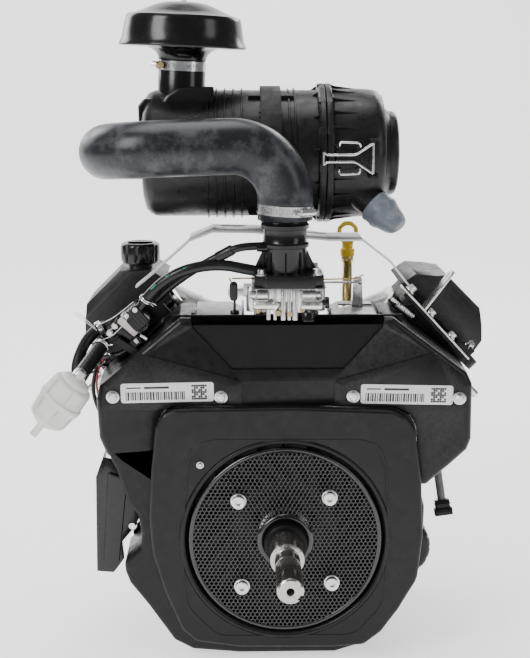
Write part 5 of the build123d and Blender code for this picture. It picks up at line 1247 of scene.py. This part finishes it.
def dipstick():
    """A yellow pull: an open loop that narrows down to a ridged collar over the tube."""
    x, depth, tube_top = 89.6, 252.0, 291.2
    outer = rounded([(-14, 28), (-13, 38), (-5, 45.5), (5, 45.5), (13, 38), (14, 28), (7.5, 18), (6.6, 9),
        (-6.6, 9), (-7.5, 18)], 7, 8)
    inner = rounded([(-8.2, 29), (-7.6, 36), (-3, 39.5), (3, 39.5), (7.6, 36), (8.2, 29), (3.2, 23.2),
        (-3.2, 23.2)], 4, 8)
    mesh = plate_mesh("loop", [outer, inner], at(x, depth + 3, 291.3), RIGHT, UP, 6, 1.8)
    piece("dipstick_pull", mesh, "stick_yellow", "oil_dipstick", stands_for=("dipstick",),
        slot="stick_yellow", smooth=60)
    lathe("dipstick_collar", [(0, 0.2), (9.0, 0.2), (9.2, 1.4), (9.2, 8.6), (8.6, 9.8), (7.0, 10.6),
        (6.4, 16), (0, 17)], at(x, depth, tube_top), UP, "stick_yellow", "oil_dipstick", sides=64,
        slot="stick_yellow", ripple=lambda a, r, h: r - 0.35 * (cos(20 * a) > 0) if 1 < h < 9 and r > 8
        else r)
    lathe("dipstick_blade", [(0, -58), (3.6, -58), (4.0, -52), (4.0, 0.5), (0, 0.5)], at(x, depth, tube_top),
        UP, "steel_shaft", "oil_dipstick", sides=24)
    lathe("dipstick_tube_rim", [(4.9, -7), (7.6, -7), (8.0, -6), (8.0, -1), (7.6, -0.2), (4.9, -0.2)],
        at(x, depth, tube_top), UP, "tube_brass", closed=True, sides=48, slot="tube_brass")


oil_cap()
dipstick()


# ================================================================ right-hand bracket and its hardware
def ribbon_into(bm, points, thick, front, back):
    """A bent flat bar through (x, rise) points, as wide as the two depths say."""
    for (x0, r0), (x1, r1) in zip(points, points[1:]):
        run = Vector((x1 - x0, r1 - r0)).normalized()
        side = Vector((-run.y, run.x)) * thick / 2
        outline = [(x0 + side.x, r0 + side.y), (x1 + side.x, r1 + side.y), (x1 - side.x, r1 - side.y),
            (x0 - side.x, r0 - side.y)]
        prism_into(bm, outline, lambda a, b, half: at(a, (front + back) / 2 + half, b), back - front)


def right_bracket():
    bm = fresh()
    ribbon_into(bm, [(139, 281), (167, 251.5), (219, 195)], 2.4, 74, 96)
    built(bm, "control_strip", "lever_zinc", stands_for=("control_bracket",), slot="lever_zinc", smooth=30,
        bevel=0.4)
    lean = Vector((34, 0, 46)).normalized()
    blade = [rounded([(0, -11), (52, -11), (57, -7), (57, 7), (52, 11), (0, 11)], 2)]
    blade.append(box_outline(46, 0, 13, 5, 2.4))
    mesh = plate_mesh("blade", blade, at(166, 85, 253), lean, BACK, 3.0, 0.5)
    piece("control_arm", mesh, "lever_zinc", slot="lever_zinc", smooth=35)
    out = Vector((56.5, 0, 52)).normalized()
    bolts("strip_nuts", [at(172.5, 79, 249), at(197.5, 79, 221.5)], out, 9.0, 6.0, "plated_bolts", washer=6.0,
        socket=2.4)
    bolts("strip_bolt", [at(148, 82, 276)], out, 9.0, 8.0, "plated_bolts", washer=6.4)
    dark = fresh()
    ribbon_into(dark, [(142, 274), (168, 246), (215, 195)], 6.0, 78, 104)
    ribbon_into(dark, [(206, 208), (219, 206), (224, 200)], 9.0, 80, 98)
    built(dark, "strip_carrier", "block_black", slot="block_black", smooth=30, bevel=1.2)
    bolts("carrier_bolt", [at(220.5, 86, 208)], Vector((0.45, -0.5, 0.74)), 8.0, 7.0, "plated_bolts",
        washer=5.6)
    wire("control_cable", [[(150, 76, 262), (138, 74, 262), (128, 72, 262), (122, 74, 268)]], 1.6,
        "small_rubber", bend=8)
    bm = fresh()
    for k in range(14):
        lathe_into(bm, [(0, 0), (2.6, 0), (2.9, 0.6), (2.6, 1.2), (0, 1.2)],
            at(126 + 1.9 * k, 73, 268 - 1.55 * k), Vector((1.9, 0, -1.55)), 20)
    built(bm, "control_spring", "lever_zinc", slot="lever_zinc", smooth=50)


right_bracket()


# ================================================================ hanging loom and its connector
LOOM_LINE = [(0.192, -0.086, 0.235), (0.190, -0.087, 0.218), (0.190, -0.091, 0.200), (0.1925, -0.096, 0.182),
    (0.195, -0.100, 0.164)]
LOOM_DIAMETER = 0.010


def loom():
    line = bpy.data.curves.new("loom_cord", "CURVE")
    line.dimensions = "3D"
    line.bevel_depth, line.bevel_resolution, line.resolution_u = LOOM_DIAMETER / 2, 6, 16
    line.use_fill_caps = True
    spline_into(line, "NURBS", LOOM_LINE)
    cord = linked("loom_cord", line)
    line.materials.append(LOOK["loom_grey"])
    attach(cord, "engine")
    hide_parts("loom")
    end, before = Vector(LOOM_LINE[-1]), Vector(LOOM_LINE[-2])
    axis = (end - before).normalized()
    across = Vector((1, 0, 0.18))
    across = (across - axis * across.dot(axis)).normalized()
    side = axis.cross(across)
    shells = []
    # the plug's collar, its wider end and a ridge on the collar: heights along the cord, sizes across it
    for low, high, wide, deep, radius in ((-1, 9, 18, 12.4, 3), (9, 18, 21.6, 14.8, 2),
            (3, 5, 19.5, 13.6, 3)):
        shells.append(plate_mesh("plug", [box_outline(0, 0, wide, deep, radius)], end + axis * low * MM,
            across, side, high - low, 0.7))
    shells.append(plate_mesh("plug", [box_outline(0, -7.6, 6, 2.2, 0.8)], end + axis * 2 * MM, across, side,
        12, 0.4))
    plug = piece("loom_plug", merged("loom_plug", shells), "black_plastic", stands_for=("loom_connector",),
        slot="black_plastic", smooth=35)


loom()
